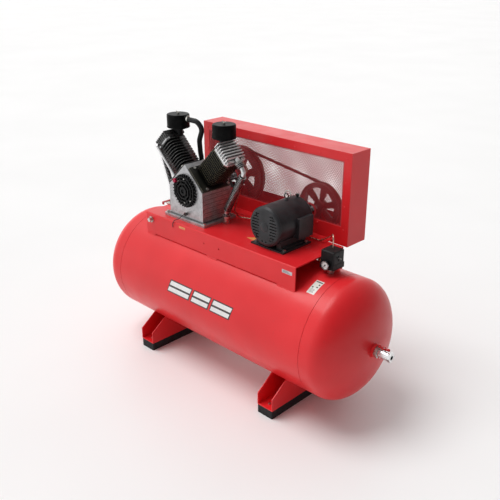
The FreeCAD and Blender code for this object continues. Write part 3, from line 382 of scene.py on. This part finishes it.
def dress_nodes():
    red = red_enamel()
    dress(red, "tank_shell", "tank_head_left", "tank_head_right", "foot_left", "foot_right",
          "platform", "guard_shroud")
    dress(rubber("pad_rubber", (0.010, 0.010, 0.011), (0.030, 0.030, 0.032), 0.55, 0.002),
          "foot_pads")
    zinc = turned_metal("zinc_plate", (0.46, 0.45, 0.41), (0.70, 0.69, 0.65), 0.22)
    dress(zinc, "pipe_fittings", "frame_bolts", "pump_fasteners")
    brass = turned_metal("turned_brass", (0.52, 0.37, 0.15), (0.76, 0.58, 0.28), 0.20)
    dress(brass, "drain_valve", "drain_key", "safety_valve")
    chrome = turned_metal("plated_valve", (0.62, 0.62, 0.62), (0.86, 0.86, 0.86), 0.08)
    dress(chrome, "ball_valve_body", "ball_valve_ball", "safety_ring")
    dress(plastic("handle_red", (0.42, 0.010, 0.012), (0.56, 0.020, 0.022), 0.30, 0.002, 0.00005),
          "ball_valve_lever", "oil_drain_lever")
    # The light edge colour is painted highlight, and the darker colour in the hollows is painted
    # shade.
    dress(cast_metal("grey_casting", (0.38, 0.38, 0.39), (0.56, 0.56, 0.57), 0.26, 0.65, 0.00022,
                     edge=(0.80, 0.80, 0.80), painted_shade=0.55, reach=0.010),
          "crankcase", "rear_housing")
    dress(black_paint("cover_enamel", 0.26, 0.003, 0.00012), "bearing_cover")
    steel = turned_metal("ground_steel", (0.42, 0.42, 0.43), (0.62, 0.62, 0.63), 0.18)
    dress(steel, "ball_bearings", "crankshaft", "motor_rotor", "valve_plates")
    dress(cast_metal("machined_alloy", (0.48, 0.48, 0.49), (0.66, 0.66, 0.67), 0.28, 0.9, 0.0001),
          "rod_left", "rod_right", "piston_left", "piston_right")
    # The grey and gold edge colours along the fin rims are painted highlights, and the near-black
    # between the fins is painted shade.
    dress(cast_metal("cylinder_iron", (0.018, 0.018, 0.018), (0.036, 0.036, 0.035),
                     0.30, 0.2, 0.0002, edge=(0.40, 0.40, 0.39), painted_shade=0.96, reach=0.03),
          "cylinder_left")
    dress(cast_metal("cylinder_gold_edge_highlight", (0.018, 0.017, 0.014), (0.036, 0.034, 0.026),
                     0.30, 0.3, 0.0002, edge=(0.60, 0.54, 0.32), painted_shade=0.96, reach=0.03),
          "cylinder_right")
    # Lighter edges stand partly for wear and partly for painted highlight, and the darker colour in
    # the hollows is painted shade.
    dress(cast_metal("dull_head", (0.07, 0.07, 0.07), (0.12, 0.12, 0.12), 0.30, 0.5, 0.0002,
                     edge=(0.30, 0.30, 0.30), painted_shade=0.8),
          "cylinder_head_left")
    dress(cast_metal("bright_head", (0.66, 0.66, 0.67), (0.90, 0.90, 0.90), 0.26, 0.6, 0.0002,
                     edge=(0.95, 0.95, 0.95), painted_shade=0.85, reach=0.008),
          "cylinder_head_right")
    dress(black_paint("neck_paint", 0.34, 0.002, 0.00015), "intake_necks")
    can = black_paint("can_paint", 0.30, 0.004, 0.00005,
                      edge=(0.010, 0.010, 0.010), lift=0.6, level=0.06)
    dress(can, "filter_can_left", "filter_can_right")
    dress(felt(), "filter_elements")
    dress(rubber("hose_rubber", (0.008, 0.008, 0.008), (0.020, 0.020, 0.021), 0.32, 0.004),
          "breather_hose")
    dress(finned_alloy(), "delivery_tube_left", "delivery_tube_right")
    dress(small_pipe_metal(), "small_pipes")
    dress(plastic("cap_plastic", (0.42, 0.010, 0.050), (0.56, 0.020, 0.080), 0.22, 0.002, 0.00004),
          "oil_filler_cap")
    dress(plastic("lead_cover", (0.030, 0.024, 0.024), (0.070, 0.056, 0.054), 0.40, 0.001, 0.00005),
          "sensor_lead")
    dress(cast_metal("wheel_iron", (0.040, 0.034, 0.034), (0.085, 0.075, 0.075),
                     0.34, 0.35, 0.0003, edge=(0.22, 0.20, 0.20)),
          "flywheel", "motor_pulley")
    dress(belt_rubber(), "drive_belt")
    motor = black_paint("motor_paint", 0.30, 0.0025, 0.00010,
                        edge=(0.11, 0.10, 0.098), lift=5.0, level=0.25)
    dress(motor, "motor_frame", "motor_front_bell", "motor_rear_bell", "motor_base", "conduit_box")
    dress(windings(), "motor_stator")
    moulded = plastic("moulded_black", (0.004, 0.004, 0.0045), (0.010, 0.010, 0.011),
                      0.38, 0.0012, 0.00012)
    dress(moulded, "switch_box", "reset_button", "gauge_needle")
    dress(plastic("lever_grey", (0.16, 0.16, 0.16), (0.24, 0.24, 0.24), 0.4, 0.001, 0.00005),
          "switch_lever")
    dress(black_paint("gauge_paint", 0.22, 0.004, 0.00003), "gauge_case")
    return {"red": red, "zinc": zinc, "steel": steel, "motor": motor, "moulded": moulded,
            "can": can}


# ------------------------------------------------------------------ mesh helpers
def piece(name, verts, faces, mat, body="chassis", slot=None, smooth=None):
    """One visible mesh that moves with body, smooth across edges under smooth degrees."""
    mesh = bpy.data.meshes.new(name)
    mesh.from_pydata([tuple(v) for v in verts], [], faces)
    mesh.validate()
    obj = bpy.data.objects.new(name, mesh)
    bpy.context.scene.collection.objects.link(obj)
    obj.data.materials.append(mat)
    if smooth is not None:
        mesh.polygons.foreach_set("use_smooth", [True] * len(mesh.polygons))
        mesh.set_sharp_from_angle(angle=math.radians(smooth))
    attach(obj, body)
    return obj


class Stock:
    """Collects closed shapes that become one piece."""

    def __init__(self):
        self.verts = []
        self.faces = []

    def add(self, verts, faces):
        start = len(self.verts)
        self.verts += [Vector(v) for v in verts]
        self.faces += [tuple(start + i for i in f) for f in faces]

    def lathe(self, base, axis, profile, sides=32, turn=0.0):
        """Closed ring or solid from (radius, height) points turned about axis."""
        axis = Vector(axis).normalized()
        side = axis.orthogonal().normalized()
        if abs(axis.z) < 0.9:
            side = (UP - axis * axis.z).normalized()
        other = axis.cross(side)
        verts, faces, rows = [], [], []
        for r, h in profile:
            centre = Vector(base) + axis * h
            if r < 1e-9:
                rows.append([len(verts)] * sides)
                verts.append(centre)
                continue
            rows.append(list(range(len(verts), len(verts) + sides)))
            for k in range(sides):
                a = 2 * math.pi * k / sides + turn
                verts.append(centre + side * (r * math.cos(a)) + other * (r * math.sin(a)))
        for i in range(len(rows)):
            lower, upper = rows[i], rows[(i + 1) % len(rows)]
            if i == len(rows) - 1 and (profile[0][0] < 1e-9 or profile[-1][0] < 1e-9):
                continue
            for k in range(sides):
                n = (k + 1) % sides
                corners = [lower[k], lower[n], upper[n], upper[k]]
                face = list(dict.fromkeys(corners))
                if len(face) > 2:
                    faces.append(tuple(face))
        self.add(verts, faces)

    def tube(self, points, radius, sides=10, ripple=0.0, pitch=0.01):
        """Round bar along a line of points, swelling in ripples where asked."""
        verts, faces = [], []
        run = 0.0
        count = len(points)
        for i, p in enumerate(points):
            ahead = points[min(i + 1, count - 1)] - points[max(i - 1, 0)]
            if i:
                run += (p - points[i - 1]).length
            d = ahead.normalized()
            side = d.orthogonal().normalized() if abs(d.z) > 0.95 else d.cross(UP).normalized()
            other = d.cross(side)
            r = radius * (1 + ripple * math.sin(2 * math.pi * run / pitch))
            for k in range(sides):
                a = 2 * math.pi * k / sides
                verts.append(p + side * (r * math.cos(a)) + other * (r * math.sin(a)))
        for i in range(count - 1):
            for k in range(sides):
                n = (k + 1) % sides
                a, b = i * sides, (i + 1) * sides
                faces.append((a + k, a + n, b + n, b + k))
        faces.append(tuple(reversed(range(sides))))
        faces.append(tuple(range((count - 1) * sides, count * sides)))
        self.add(verts, faces)

    def slab(self, lo, hi):
        """Box from corner to corner."""
        x0, y0, z0 = lo
        x1, y1, z1 = hi
        verts = [(x, y, z) for z in (z0, z1) for y in (y0, y1) for x in (x0, x1)]
        faces = [(0, 2, 3, 1), (4, 5, 7, 6), (0, 1, 5, 4), (2, 6, 7, 3), (0, 4, 6, 2), (1, 3, 7, 5)]
        self.add(verts, faces)

    def hex_nut(self, p, axis, r, h, turn=0.0):
        """Chamfered nut of corner radius r and height h, with the bolt's end in it."""
        c = 0.12 * r
        profile = [(0, 0), (r - c, 0), (r, c), (r, h - c), (r - c * 1.6, h), (r * 0.5, h),
                   (r * 0.5, h + c), (0, h + c)]
        self.lathe(p, axis, profile, 6, turn)

    def done(self, name, mat, **how):
        return piece(name, self.verts, self.faces, mat, **how)


def on_tank(x, angle, lift=0.0):
    """Point of the shell at that height angle on the front, in degrees above the middle."""
    a = math.radians(angle)
    r = TANK_R + lift
    return Vector((x, -r * math.cos(a), TANK_Z + r * math.sin(a)))


def tank_patch(stock, outline, thick=0.0004, lift=0.0001):
    """Thin sticker wrapped on the shell, from columns of (x, low angle, high angle, lean)."""
    steps = 8
    verts, faces = [], []
    for layer in (lift, lift + thick):
        for x0, a0, a1, lean in outline:
            for k in range(steps + 1):
                t = k / steps
                verts.append(on_tank(x0 + lean * t, a0 + (a1 - a0) * t, layer))
    columns = len(outline)
    row = steps + 1
    top = columns * row
    for i in range(columns - 1):
        for k in range(steps):
            a, b = i * row + k, (i + 1) * row + k
            faces.append((a, a + 1, b + 1, b))
            faces.append((top + a, top + b, top + b + 1, top + a + 1))
        for k, flip in ((0, False), (steps, True)):
            a, b = i * row + k, (i + 1) * row + k
            face = (a, b, top + b, top + a)
            faces.append(tuple(reversed(face)) if flip else face)
    for i, flip in ((0, True), (columns - 1, False)):
        for k in range(steps):
            a = i * row + k
            face = (a, a + 1, top + a + 1, top + a)
            faces.append(tuple(reversed(face)) if flip else face)
    stock.add(verts, faces)


# ------------------------------------------------------------------ guard
def perforated_sheet(stock, x0, x1, z0, z1, y, thick, pitch, hole_r, gaps):
    """Staggered six-sided holes, each in its own six-sided cell, inside a plain rim."""
    cell_r = pitch / math.sqrt(3)
    row_h = pitch * math.sqrt(3) / 2
    rim = 0.014
    columns = int((x1 - x0 - 2 * rim) / pitch)
    rows = int((z1 - z0 - 2 * rim) / row_h)
    left = (x0 + x1 - (columns - 0.5) * pitch) / 2
    low = (z0 + z1 - (rows - 1) * row_h) / 2
    verts, faces, shared, edges = [], [], {}, {}

    def corner(cx, cz, k, side):
        a = math.radians(60 * k + 30)
        x, z = cx + cell_r * math.cos(a), cz + cell_r * math.sin(a)
        key = (round(x * 1e5), round(z * 1e5), side)
        if key not in shared:
            shared[key] = len(verts)
            verts.append((x, y + side * thick, z))
        return shared[key]

    for j in range(rows):
        for i in range(columns):
            cx = left + (i + 0.5 * (j % 2)) * pitch
            cz = low + j * row_h
            if any(math.hypot(cx - gx, cz - gz) < gr + cell_r for gx, gz, gr in gaps):
                continue
            outer = [[corner(cx, cz, k, s) for k in range(6)] for s in (0, 1)]
            inner = []
            for s in (0, 1):
                inner.append(list(range(len(verts), len(verts) + 6)))
                for k in range(6):
                    a = math.radians(60 * k + 30)
                    x, z = cx + hole_r * math.cos(a), cz + hole_r * math.sin(a)
                    verts.append((x, y + s * thick, z))
            for k in range(6):
                n = (k + 1) % 6
                faces.append((outer[0][k], outer[0][n], inner[0][n], inner[0][k]))
                faces.append((outer[1][n], outer[1][k], inner[1][k], inner[1][n]))
                faces.append((inner[0][k], inner[0][n], inner[1][n], inner[1][k]))
                edges[(outer[0][k], outer[0][n])] = (outer[1][k], outer[1][n])
    for (a, b), (c, d) in edges.items():
        if (b, a) not in edges:
            faces.append((b, a, c, d))
    stock.add(verts, faces)
    grid_x0, grid_x1 = left - pitch / 2, left + columns * pitch
    grid_z0, grid_z1 = low - cell_r, low + (rows - 1) * row_h + cell_r
    lap, proud, ring_proud, ring_width = 0.0052, 0.00005, 0.0001, 0.011
    y0, y1 = y - proud, y + thick + proud
    stock.slab((x0, y0, z0), (grid_x0 + lap, y1, z1))
    stock.slab((grid_x1 - lap, y0, z0), (x1, y1, z1))
    stock.slab((grid_x0 + lap, y0, z0), (grid_x1 - lap, y1, grid_z0 + lap))
    stock.slab((grid_x0 + lap, y0, grid_z1 - lap), (grid_x1 - lap, y1, z1))
    for gx, gz, gr in gaps:
        near, far = -ring_proud, thick + ring_proud
        ring = [(gr, near), (gr + ring_width, near), (gr + ring_width, far), (gr, far)]
        stock.lathe((gx, y, gz), (0, 1, 0), ring, 64)


def guard_mesh():
    """The guard's front and back windows as real perforated sheet."""
    lo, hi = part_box("guard_panels")
    thick, pitch, hole_r = 0.0015, 0.0105, 0.0051
    crank_shaft_gap, motor_shaft_gap = 0.058, 0.030
    crank_lo, crank_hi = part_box("flywheel")
    motor_lo, motor_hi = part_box("motor_pulley")
    gaps = [((crank_lo.x + crank_hi.x) / 2, (crank_lo.z + crank_hi.z) / 2, crank_shaft_gap),
            ((motor_lo.x + motor_hi.x) / 2, (motor_lo.z + motor_hi.z) / 2, motor_shaft_gap)]
    mat = mesh_enamel()
    for name, y, holes in (("guard_mesh_front", lo.y, gaps), ("guard_mesh_back", hi.y - thick, [])):
        stock = Stock()
        perforated_sheet(stock, lo.x, hi.x, lo.z, hi.z, y, thick, pitch, hole_r, holes)
        sheet = stock.done(name, mat, slot="guard_mesh")
        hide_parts("guard_panels")


def guard_rivets(looks):
    """Dome rivets along the front border, which holds the front sheet."""
    lo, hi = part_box("guard_shroud")
    stock = Stock()
    dome = [(0, 0.0022), (0.0025, 0.0020), (0.0045, 0.0010), (0.0052, 0.0), (0.0052, -0.001),
            (0, -0.001)]
    inset, low_inset, sheet_metal = 0.030, 0.082, 0.0026
    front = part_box("guard_panels")[0].y - sheet_metal
    for k in range(7):
        x = lo.x + inset + (hi.x - lo.x - 2 * inset) * k / 6
        for z in (hi.z - inset, lo.z + low_inset):
            stock.lathe((x, front, z), (0, -1, 0), dome[::-1], 12)
    for k in range(1, 3):
        z = lo.z + low_inset + (hi.z - inset - lo.z - low_inset) * k / 3
        for x in (lo.x + inset, hi.x - inset):
            stock.lathe((x, front, z), (0, -1, 0), dome[::-1], 12)
    stock.done("guard_rivets", looks["red"], slot="red_paint", smooth=40)


# ------------------------------------------------------------------ welds
def weld_seams(looks):
    """Rippled beads where the feet, the skirts and the two couplings meet the tank."""
    stock = Stock()
    step, proud = 0.002, 0.0005
    skirt_y = plat_hi.y - 0.001
    skirt_z = TANK_Z + math.sqrt(TANK_R ** 2 - skirt_y ** 2)
    for side in (-1, 1):
        for x0, x1 in SKIRT_WELDS:
            steps = int((x1 - x0) / step)
            line = [Vector((x0 + (x1 - x0) * k / steps, side * skirt_y, skirt_z))
                    for k in range(steps + 1)]
            stock.tube(line, 0.0032, 8, ripple=0.16, pitch=0.008)
    for name in ("foot_left", "foot_right"):
        lo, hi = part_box(name)
        for x in (lo.x - proud, hi.x + proud):
            reach = math.asin(SADDLE_HALF / TANK_R)
            steps = 160
            line = []
            for k in range(steps + 1):
                a = -reach + 2 * reach * k / steps
                line.append(Vector((x, TANK_R * math.sin(a), TANK_Z - TANK_R * math.cos(a))))
            stock.tube(line, 0.0034, 8, ripple=0.16, pitch=0.008)
    right_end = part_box("tank_head_right")[1].x
    left_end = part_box("tank_head_left")[0].x
    for x in (right_end - COUPLING_INSET, left_end + COUPLING_INSET):
        ring = [Vector((x, COUPLING_R * math.sin(a), TANK_Z + COUPLING_R * math.cos(a)))
                for a in (2 * math.pi * k / 96 for k in range(97))]
        stock.tube(ring, 0.0034, 8, ripple=0.14, pitch=0.007)
    stock.done("weld_beads", looks["red"], slot="red_paint", smooth=60)


# ------------------------------------------------------------------ labels
INK_LIFT = 0.0005               # of print above the shell, over its sticker
PRINT_LO, PRINT_HI = 0.0006, 0.0003     # faces of print in front of the skirt
STICKER_LO, STICKER_HI = 0.0004, 0.0001     # and of the stickers under it


def tank_mark():
    """Plain slanted bars, white on black, where the shell carries its decal."""
    white, black = Stock(), Stock()
    low, high, lean = 6.5, 17.5, 0.020
    side_rim, end_rim, half_gap = 0.006, 1.2, 1.0
    bars = ((-0.245, -0.085), (-0.060, 0.060), (0.085, 0.215))
    for x0, x1 in bars:
        tank_patch(black, [(x0 - side_rim, low - end_rim, high + end_rim, lean),
                           (x1 + side_rim, low - end_rim, high + end_rim, lean)])
        middle = (low + high) / 2
        for a0, a1 in ((low, middle - half_gap), (middle + half_gap, high)):
            shift = lean * (a0 - low) / (high - low)
            part = lean * (a1 - a0) / (high - low)
            columns = [(x0 + shift, a0, a1, part), (x1 + shift, a0, a1, part)]
            tank_patch(white, columns, lift=INK_LIFT)
    black.done("tank_mark_edge", sticker("mark_black", (0.020, 0.016, 0.016), (0.05, 0.02, 0.02)))
    white.done("tank_mark", sticker("mark_white", (0.86, 0.86, 0.86), (0.76, 0.74, 0.73)))


def tank_label():
    """Blank instruction label beside the right-hand seam, with plain bars and dots."""
    paper, ink = Stock(), Stock()
    x0, x1, a0, a1 = 0.588, 0.632, 58.3, 74.5

    def upright(stock, left, right, low, high, lift):
        tank_patch(stock, [(left, low, high, 0.0), (right, low, high, 0.0)], lift=lift)

    upright(paper, x0, x1, a0, a1, 0.0001)
    upright(ink, x0 + 0.004, x1 - 0.004, a1 - 2.4, a1 - 1.2, INK_LIFT)
    for x, a in ((x0 + 0.010, 65.5), (x1 - 0.012, 66.5), (x1 - 0.010, 69.5)):
        upright(ink, x - 0.004, x + 0.004, a - 0.7, a + 0.7, INK_LIFT)
    for k in range(4):
        a = 60.0 + 1.1 * k
        upright(ink, x0 + 0.006, x1 - 0.010 - 0.004 * (k % 2), a, a + 0.25, INK_LIFT)
    paper.done("tank_label", sticker("label_white", (0.84, 0.83, 0.80), (0.72, 0.69, 0.62)))
    ink.done("tank_label_marks", sticker("label_ink", (0.03, 0.03, 0.03), (0.06, 0.05, 0.05)))


def skirt_labels():
    """Small blank stickers on the platform's front skirt and on its top."""
    y = plat_lo.y
    grey, orange, ink = Stock(), Stock(), Stock()
    grey.slab((0.455, y - STICKER_LO, 0.740), (0.517, y - STICKER_HI, 0.757))
    orange.slab((-0.279, y - STICKER_LO, 0.762), (-0.231, y - STICKER_HI, 0.774))
    for k in range(3):
        up = 0.0042 * k
        ink.slab((0.460, y - PRINT_LO, 0.7435 + up), (0.508 - 0.007 * k, y - PRINT_HI, 0.7450 + up))
    ink.slab((-0.262, y - PRINT_LO, 0.7655), (-0.236, y - PRINT_HI, 0.7670))
    z = plat_hi.z
    triangle = [Vector((x, y, z)) for x, y in ((0.118, -0.070), (0.186, -0.078), (0.160, -0.030))]
    verts = [v + UP * 0.0001 for v in triangle] + [v + UP * 0.0005 for v in triangle]
    orange.add(verts, [(2, 1, 0), (3, 4, 5), (0, 1, 4, 3), (1, 2, 5, 4), (2, 0, 3, 5)])
    grey.done("skirt_label", sticker("label_silver", (0.46, 0.47, 0.50), (0.60, 0.60, 0.62)))
    orange.done("caution_labels", sticker("label_orange", (0.80, 0.26, 0.05), (0.86, 0.42, 0.16)))
    ink.done("skirt_label_marks", sticker("label_lines", (0.05, 0.05, 0.06), (0.10, 0.09, 0.09)))


# ------------------------------------------------------------------ pump details
def bank(side):
    """A bank's origin on the crank's axis, its own up, and the way towards its lower side."""
    wheel_lo, wheel_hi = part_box("flywheel")
    centre = Vector(((wheel_lo.x + wheel_hi.x) / 2, 0, (wheel_lo.z + wheel_hi.z) / 2))
    s = math.sqrt(0.5)
    head_lo, head_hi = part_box("cylinder_head_left" if side < 0 else "cylinder_head_right")
    centre.y = (head_lo.y + head_hi.y) / 2
    return centre, Vector((side * s, 0, s)), Vector((side * s, 0, -s))


def base_nuts(looks):
    """Nuts that hold each cylinder's foot to the roof of the crankcase."""
    stock = Stock()
    across = (-0.062, 0.072)
    along = {-1: (-0.072, 0.070), 1: (-0.078, 0.072)}
    for side in (-1, 1):
        centre, up, low = bank(side)
        for n in across:
            for dy in along[side]:
                p = centre + up * BASE_HEIGHT + low * n + Vector((0, dy, 0))
                stock.hex_nut(p, up, 0.0085, 0.007)
    stock.done("cylinder_base_nuts", looks["zinc"], slot="zinc_steel", smooth=30)


def tube_nuts(looks):
    """Flare nuts at both ends of the finned delivery tubes."""
    stock = Stock()
    nut_r, nut_h, fin_r, gap = 0.0215, 0.014, 0.0205, 0.0002
    for name, side in (("delivery_tube_right", 1), ("delivery_tube_left", -1)):
        centre, up, low = bank(side)
        lo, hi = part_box(name)
        y = (lo.y + hi.y) / 2
        port = Vector((centre.x, y, centre.z)) + up * PORT_HEIGHT + low * HEAD_HALF
        stock.hex_nut(port + low * gap, low, nut_r, nut_h)
        x = hi.x - fin_r if side < 0 else lo.x + fin_r
        stock.hex_nut((x, y, lo.z + gap), UP, nut_r, nut_h)
    stock.done("tube_nuts", looks["zinc"], slot="zinc_steel", smooth=30)


def hose_clamps(looks):
    """Worm-drive clamps on both ends of the breather hose."""
    stock = Stock()
    lo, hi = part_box("breather_hose")
    r = HOSE_R
    width, set_back, screw_out = 0.010, 0.006, 0.003
    screw_from, screw_to, screw_r = -0.008, 0.010, 0.0032
    band = [(r + 0.0001, 0.0), (r + 0.0012, 0.0), (r + 0.0012, width), (r + 0.0001, width)]
    can_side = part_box("filter_can_left")[1].x
    z = hi.z - r
    stock.lathe((can_side + set_back, 0, z), (1, 0, 0), band, 40)
    x, y = BREATHER
    stock.lathe((x, y, lo.z + set_back), UP, band, 40)
    middle = set_back + width / 2
    stock.tube([Vector((can_side + middle, q, z + r + screw_out)) for q in (screw_from, screw_to)],
               screw_r, 10)
    stock.tube([Vector((x + q, y - r - screw_out, lo.z + middle)) for q in (screw_from, screw_to)],
               screw_r, 10)
    stock.done("hose_clamps", looks["zinc"], slot="zinc_steel", smooth=40)


def filter_rims(looks):
    """Rolled rim round the foot of each filter can and a shallow bead under its lid."""
    stock = Stock()
    r = CAN_R
    for name in ("filter_can_left", "filter_can_right"):
        lo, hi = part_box(name)
        x = lo.x + r
        y = (lo.y + hi.y) / 2
        for z, out in ((lo.z + 0.003, 0.0022), (hi.z - 0.016, 0.0010)):
            ring = []
            for k in range(9):
                a = math.pi * k / 8
                ring.append((r - 0.0005 + out * math.sin(a), z - 0.0025 * math.cos(a)))
            ring.append((r - 0.0015, z + 0.0025))
            ring.append((r - 0.0015, z - 0.0025))
            stock.lathe((x, y, 0), UP, ring, 72)
    stock.done("filter_rims", looks["can"], slot="can_black", smooth=40)


# ------------------------------------------------------------------ motor details
def motor_trim(looks):
    """Through-bolts and a bearing cap on the front bell, and a lifting eye on the frame."""
    lo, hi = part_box("motor_frame")
    x, z = (lo.x + hi.x) / 2, (lo.z + hi.z) / 2
    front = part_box("motor_front_bell")[0].y
    stock = Stock()
    bolt_circle = 0.076
    for k in range(4):
        a = math.radians(45 + 90 * k)
        p = (x + bolt_circle * math.cos(a), front - 0.0001, z + bolt_circle * math.sin(a))
        stock.hex_nut(p, (0, -1, 0), 0.0052, 0.0038)
    stock.done("motor_through_bolts", looks["motor"], slot="motor_black", smooth=30)
    cap = Stock()
    rise = [(0, 0), (0.024, 0), (0.024, 0.0012), (0.021, 0.0026), (0, 0.0030)]
    cap.lathe((x, front, z), (0, -1, 0), rise[::-1], 48)
    cap.done("motor_bearing_cap", looks["motor"], slot="motor_black", smooth=40)
    eye = Stock()
    foot = Vector((x, 0.030, hi.z - 0.0005))
    shank = [(0, 0), (0.009, 0), (0.009, 0.003), (0.0045, 0.006), (0.0045, 0.009), (0, 0.009)]
    eye.lathe(foot, UP, shank, 24)
    eye_r, eye_height = 0.0125, 0.021
    ring = [foot + Vector((eye_r * math.sin(a), 0, eye_height - eye_r * math.cos(a)))
            for a in (2 * math.pi * k / 40 for k in range(41))]
    eye.tube(ring, 0.0026, 12)
    eye.done("motor_lifting_eye", looks["motor"], slot="motor_black", smooth=50)


# ------------------------------------------------------------------ gauge and switch
def gauge_face(looks):
    """White dial with plain ticks, and a bright bezel round the case."""
    lo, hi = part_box("gauge_case")
    r = (hi.x - lo.x) / 2
    centre = Vector(((lo.x + hi.x) / 2, lo.y, (lo.z + hi.z) / 2))
    dial = Stock()
    dial_r, dial_depth, tick_depth = r - 0.0026, 0.00445, 0.0035
    disc = [(0, 0.0), (dial_r, 0.0), (dial_r, 0.0008), (0, 0.0008)]
    dial.lathe(centre + Vector((0, dial_depth, 0)), (0, -1, 0), disc[::-1], 64)
    dial.done("gauge_dial", sticker("dial_white", (0.86, 0.85, 0.84), (0.80, 0.78, 0.76)))
    ticks = Stock()
    for k in range(28):
        a = math.radians(225 - 270 * k / 27)
        length, w = (0.0043, 0.00055) if k % 3 == 0 else (0.0020, 0.0003)
        r1 = r - 0.0042
        r0 = r1 - length
        d = Vector((math.cos(a), 0, math.sin(a)))
        n = Vector((-math.sin(a), 0, math.cos(a)))
        base = centre + Vector((0, tick_depth, 0))
        lower = [base + d * q + n * s for q, s in ((r0, -w), (r1, -w), (r1, w), (r0, w))]
        verts = lower + [v + Vector((0, 0.0003, 0)) for v in lower]
        ticks.add(verts, [(0, 1, 2, 3), (7, 6, 5, 4), (0, 4, 5, 1), (1, 5, 6, 2), (2, 6, 7, 3),
                          (3, 7, 4, 0)])
    ticks.done("gauge_ticks", looks["moulded"])
    bezel = Stock()
    ring = [(r - 0.0024, 0.0002), (r - 0.0002, 0.0002), (r + 0.0001, -0.0012),
            (r + 0.0001, -0.0045), (r - 0.0001, -0.0045), (r - 0.0024, -0.0010)]
    bezel.lathe(centre, (0, -1, 0), ring, 64)
    bezel.done("gauge_bezel", looks["steel"], slot="bearing_steel", smooth=40)


def switch_trim(looks):
    """Cover screws and a raised panel on the pressure switch, and a strip on its right side."""
    lo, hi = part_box("switch_box")
    stock = Stock()
    inset = 0.012
    head = [(0, 0), (0.0042, 0), (0.0042, 0.0014), (0.0030, 0.0024), (0.0012, 0.0024),
            (0.0012, 0.0012), (0, 0.0012)]
    for x in (lo.x + inset, hi.x - inset):
        for y in (hi.y - inset, lo.y + inset):
            stock.lathe((x, y, hi.z - 0.0001), UP, head, 20)
    stock.done("switch_screws", looks["moulded"], slot="switch_black", smooth=40)
    panel = Stock()
    panel.slab((lo.x + inset, lo.y - 0.0002, hi.z - 0.050),
               (hi.x - inset, lo.y + 0.0012, hi.z - 0.014))
    panel.slab((hi.x - 0.0012, lo.y + 0.014, hi.z - 0.022),
               (hi.x - 0.0008, hi.y - 0.014, hi.z - 0.012))
    panel.done("switch_panel", looks["moulded"], slot="switch_black")


# ------------------------------------------------------------------ stage
def floor_plane():
    """Wide white floor just under the foot pads."""
    mesh = bpy.data.meshes.new("floor")
    size, z = 60.0, -0.0003
    corners = [(-size, -size, z), (size, -size, z), (size, size, z), (-size, size, z)]
    mesh.from_pydata(corners, [], [(0, 1, 2, 3)])
    floor = bpy.data.objects.new("floor", mesh)
    bpy.context.scene.collection.objects.link(floor)
    mesh.materials.append(floor_white())


def sky():
    """Sky whose strength varies across and upwards, plain white where the camera sees it."""
    world = bpy.data.worlds.new("studio")
    bpy.context.scene.world = world
    world.use_nodes = True
    tree = world.node_tree
    background = tree.nodes["Background"]
    split = tree.nodes.new("ShaderNodeSeparateXYZ")
    tree.links.new(tree.nodes.new("ShaderNodeTexCoord").outputs["Generated"], split.inputs[0])
    across = tree.nodes.new("ShaderNodeMapRange")
    upward = tree.nodes.new("ShaderNodeMapRange")
    for node, axis, *ends in ((across, "X", -0.5, 0.6, SKY_LEFT, SKY_RIGHT),
                              (upward, "Z", 0.0, 0.8, SKY_LOW, SKY_HIGH)):
        tree.links.new(split.outputs[axis], node.inputs["Value"])
        for socket, value in zip(("From Min", "From Max", "To Min", "To Max"), ends):
            node.inputs[socket].default_value = value
    strength = tree.nodes.new("ShaderNodeMath")
    strength.operation = "MULTIPLY"
    tree.links.new(across.outputs[0], strength.inputs[0])
    tree.links.new(upward.outputs[0], strength.inputs[1])
    plain = tree.nodes.new("ShaderNodeMix")
    plain.inputs["B"].default_value = 1.0
    seen = tree.nodes.new("ShaderNodeLightPath").outputs["Is Camera Ray"]
    tree.links.new(seen, plain.inputs["Factor"])
    tree.links.new(strength.outputs[0], plain.inputs["A"])
    tree.links.new(plain.outputs["Result"], background.inputs["Strength"])
    background.inputs["Color"].default_value = (1.0, 0.995, 0.99, 1.0)


def soft_sun(name, place, spread, power):
    """Distant soft light from place towards the origin, spread degrees across."""
    data = bpy.data.lights.new(name, "SUN")
    data.angle = math.radians(spread)
    data.energy = power
    lamp = bpy.data.objects.new(name, data)
    bpy.context.scene.collection.objects.link(lamp)
    lamp.location = place
    lamp.rotation_mode = "QUATERNION"
    lamp.rotation_quaternion = (-Vector(place)).to_track_quat("-Z", "Y")


def camera():
    """Front right view from a little above: its direction, lens and place."""
    azimuth, elevation = math.radians(44.194), math.radians(22.987)
    data = bpy.data.cameras.new("camera")
    data.sensor_width = 36.0
    data.lens = 49.54
    data.clip_end = 200.0
    cam = bpy.data.objects.new("camera", data)
    bpy.context.scene.collection.objects.link(cam)
    back = Vector((math.sin(azimuth) * math.cos(elevation),
                   -math.cos(azimuth) * math.cos(elevation), math.sin(elevation)))
    cam.location = (2.3746, -2.3674, 2.0845)
    cam.rotation_mode = "QUATERNION"
    cam.rotation_quaternion = (-back).to_track_quat("-Z", "Y")
    bpy.context.scene.camera = cam
    bpy.context.scene.view_settings.view_transform = "Standard"


camera()
floor_plane()
sky()
soft_sun("key", (-1.2, -0.8, 3.0), 34.0, 1.6)
looks = dress_nodes()
guard_mesh()
guard_rivets(looks)
weld_seams(looks)
tank_mark()
tank_label()
skirt_labels()
base_nuts(looks)
tube_nuts(looks)
hose_clamps(looks)
filter_rims(looks)
motor_trim(looks)
gauge_face(looks)
switch_trim(looks)
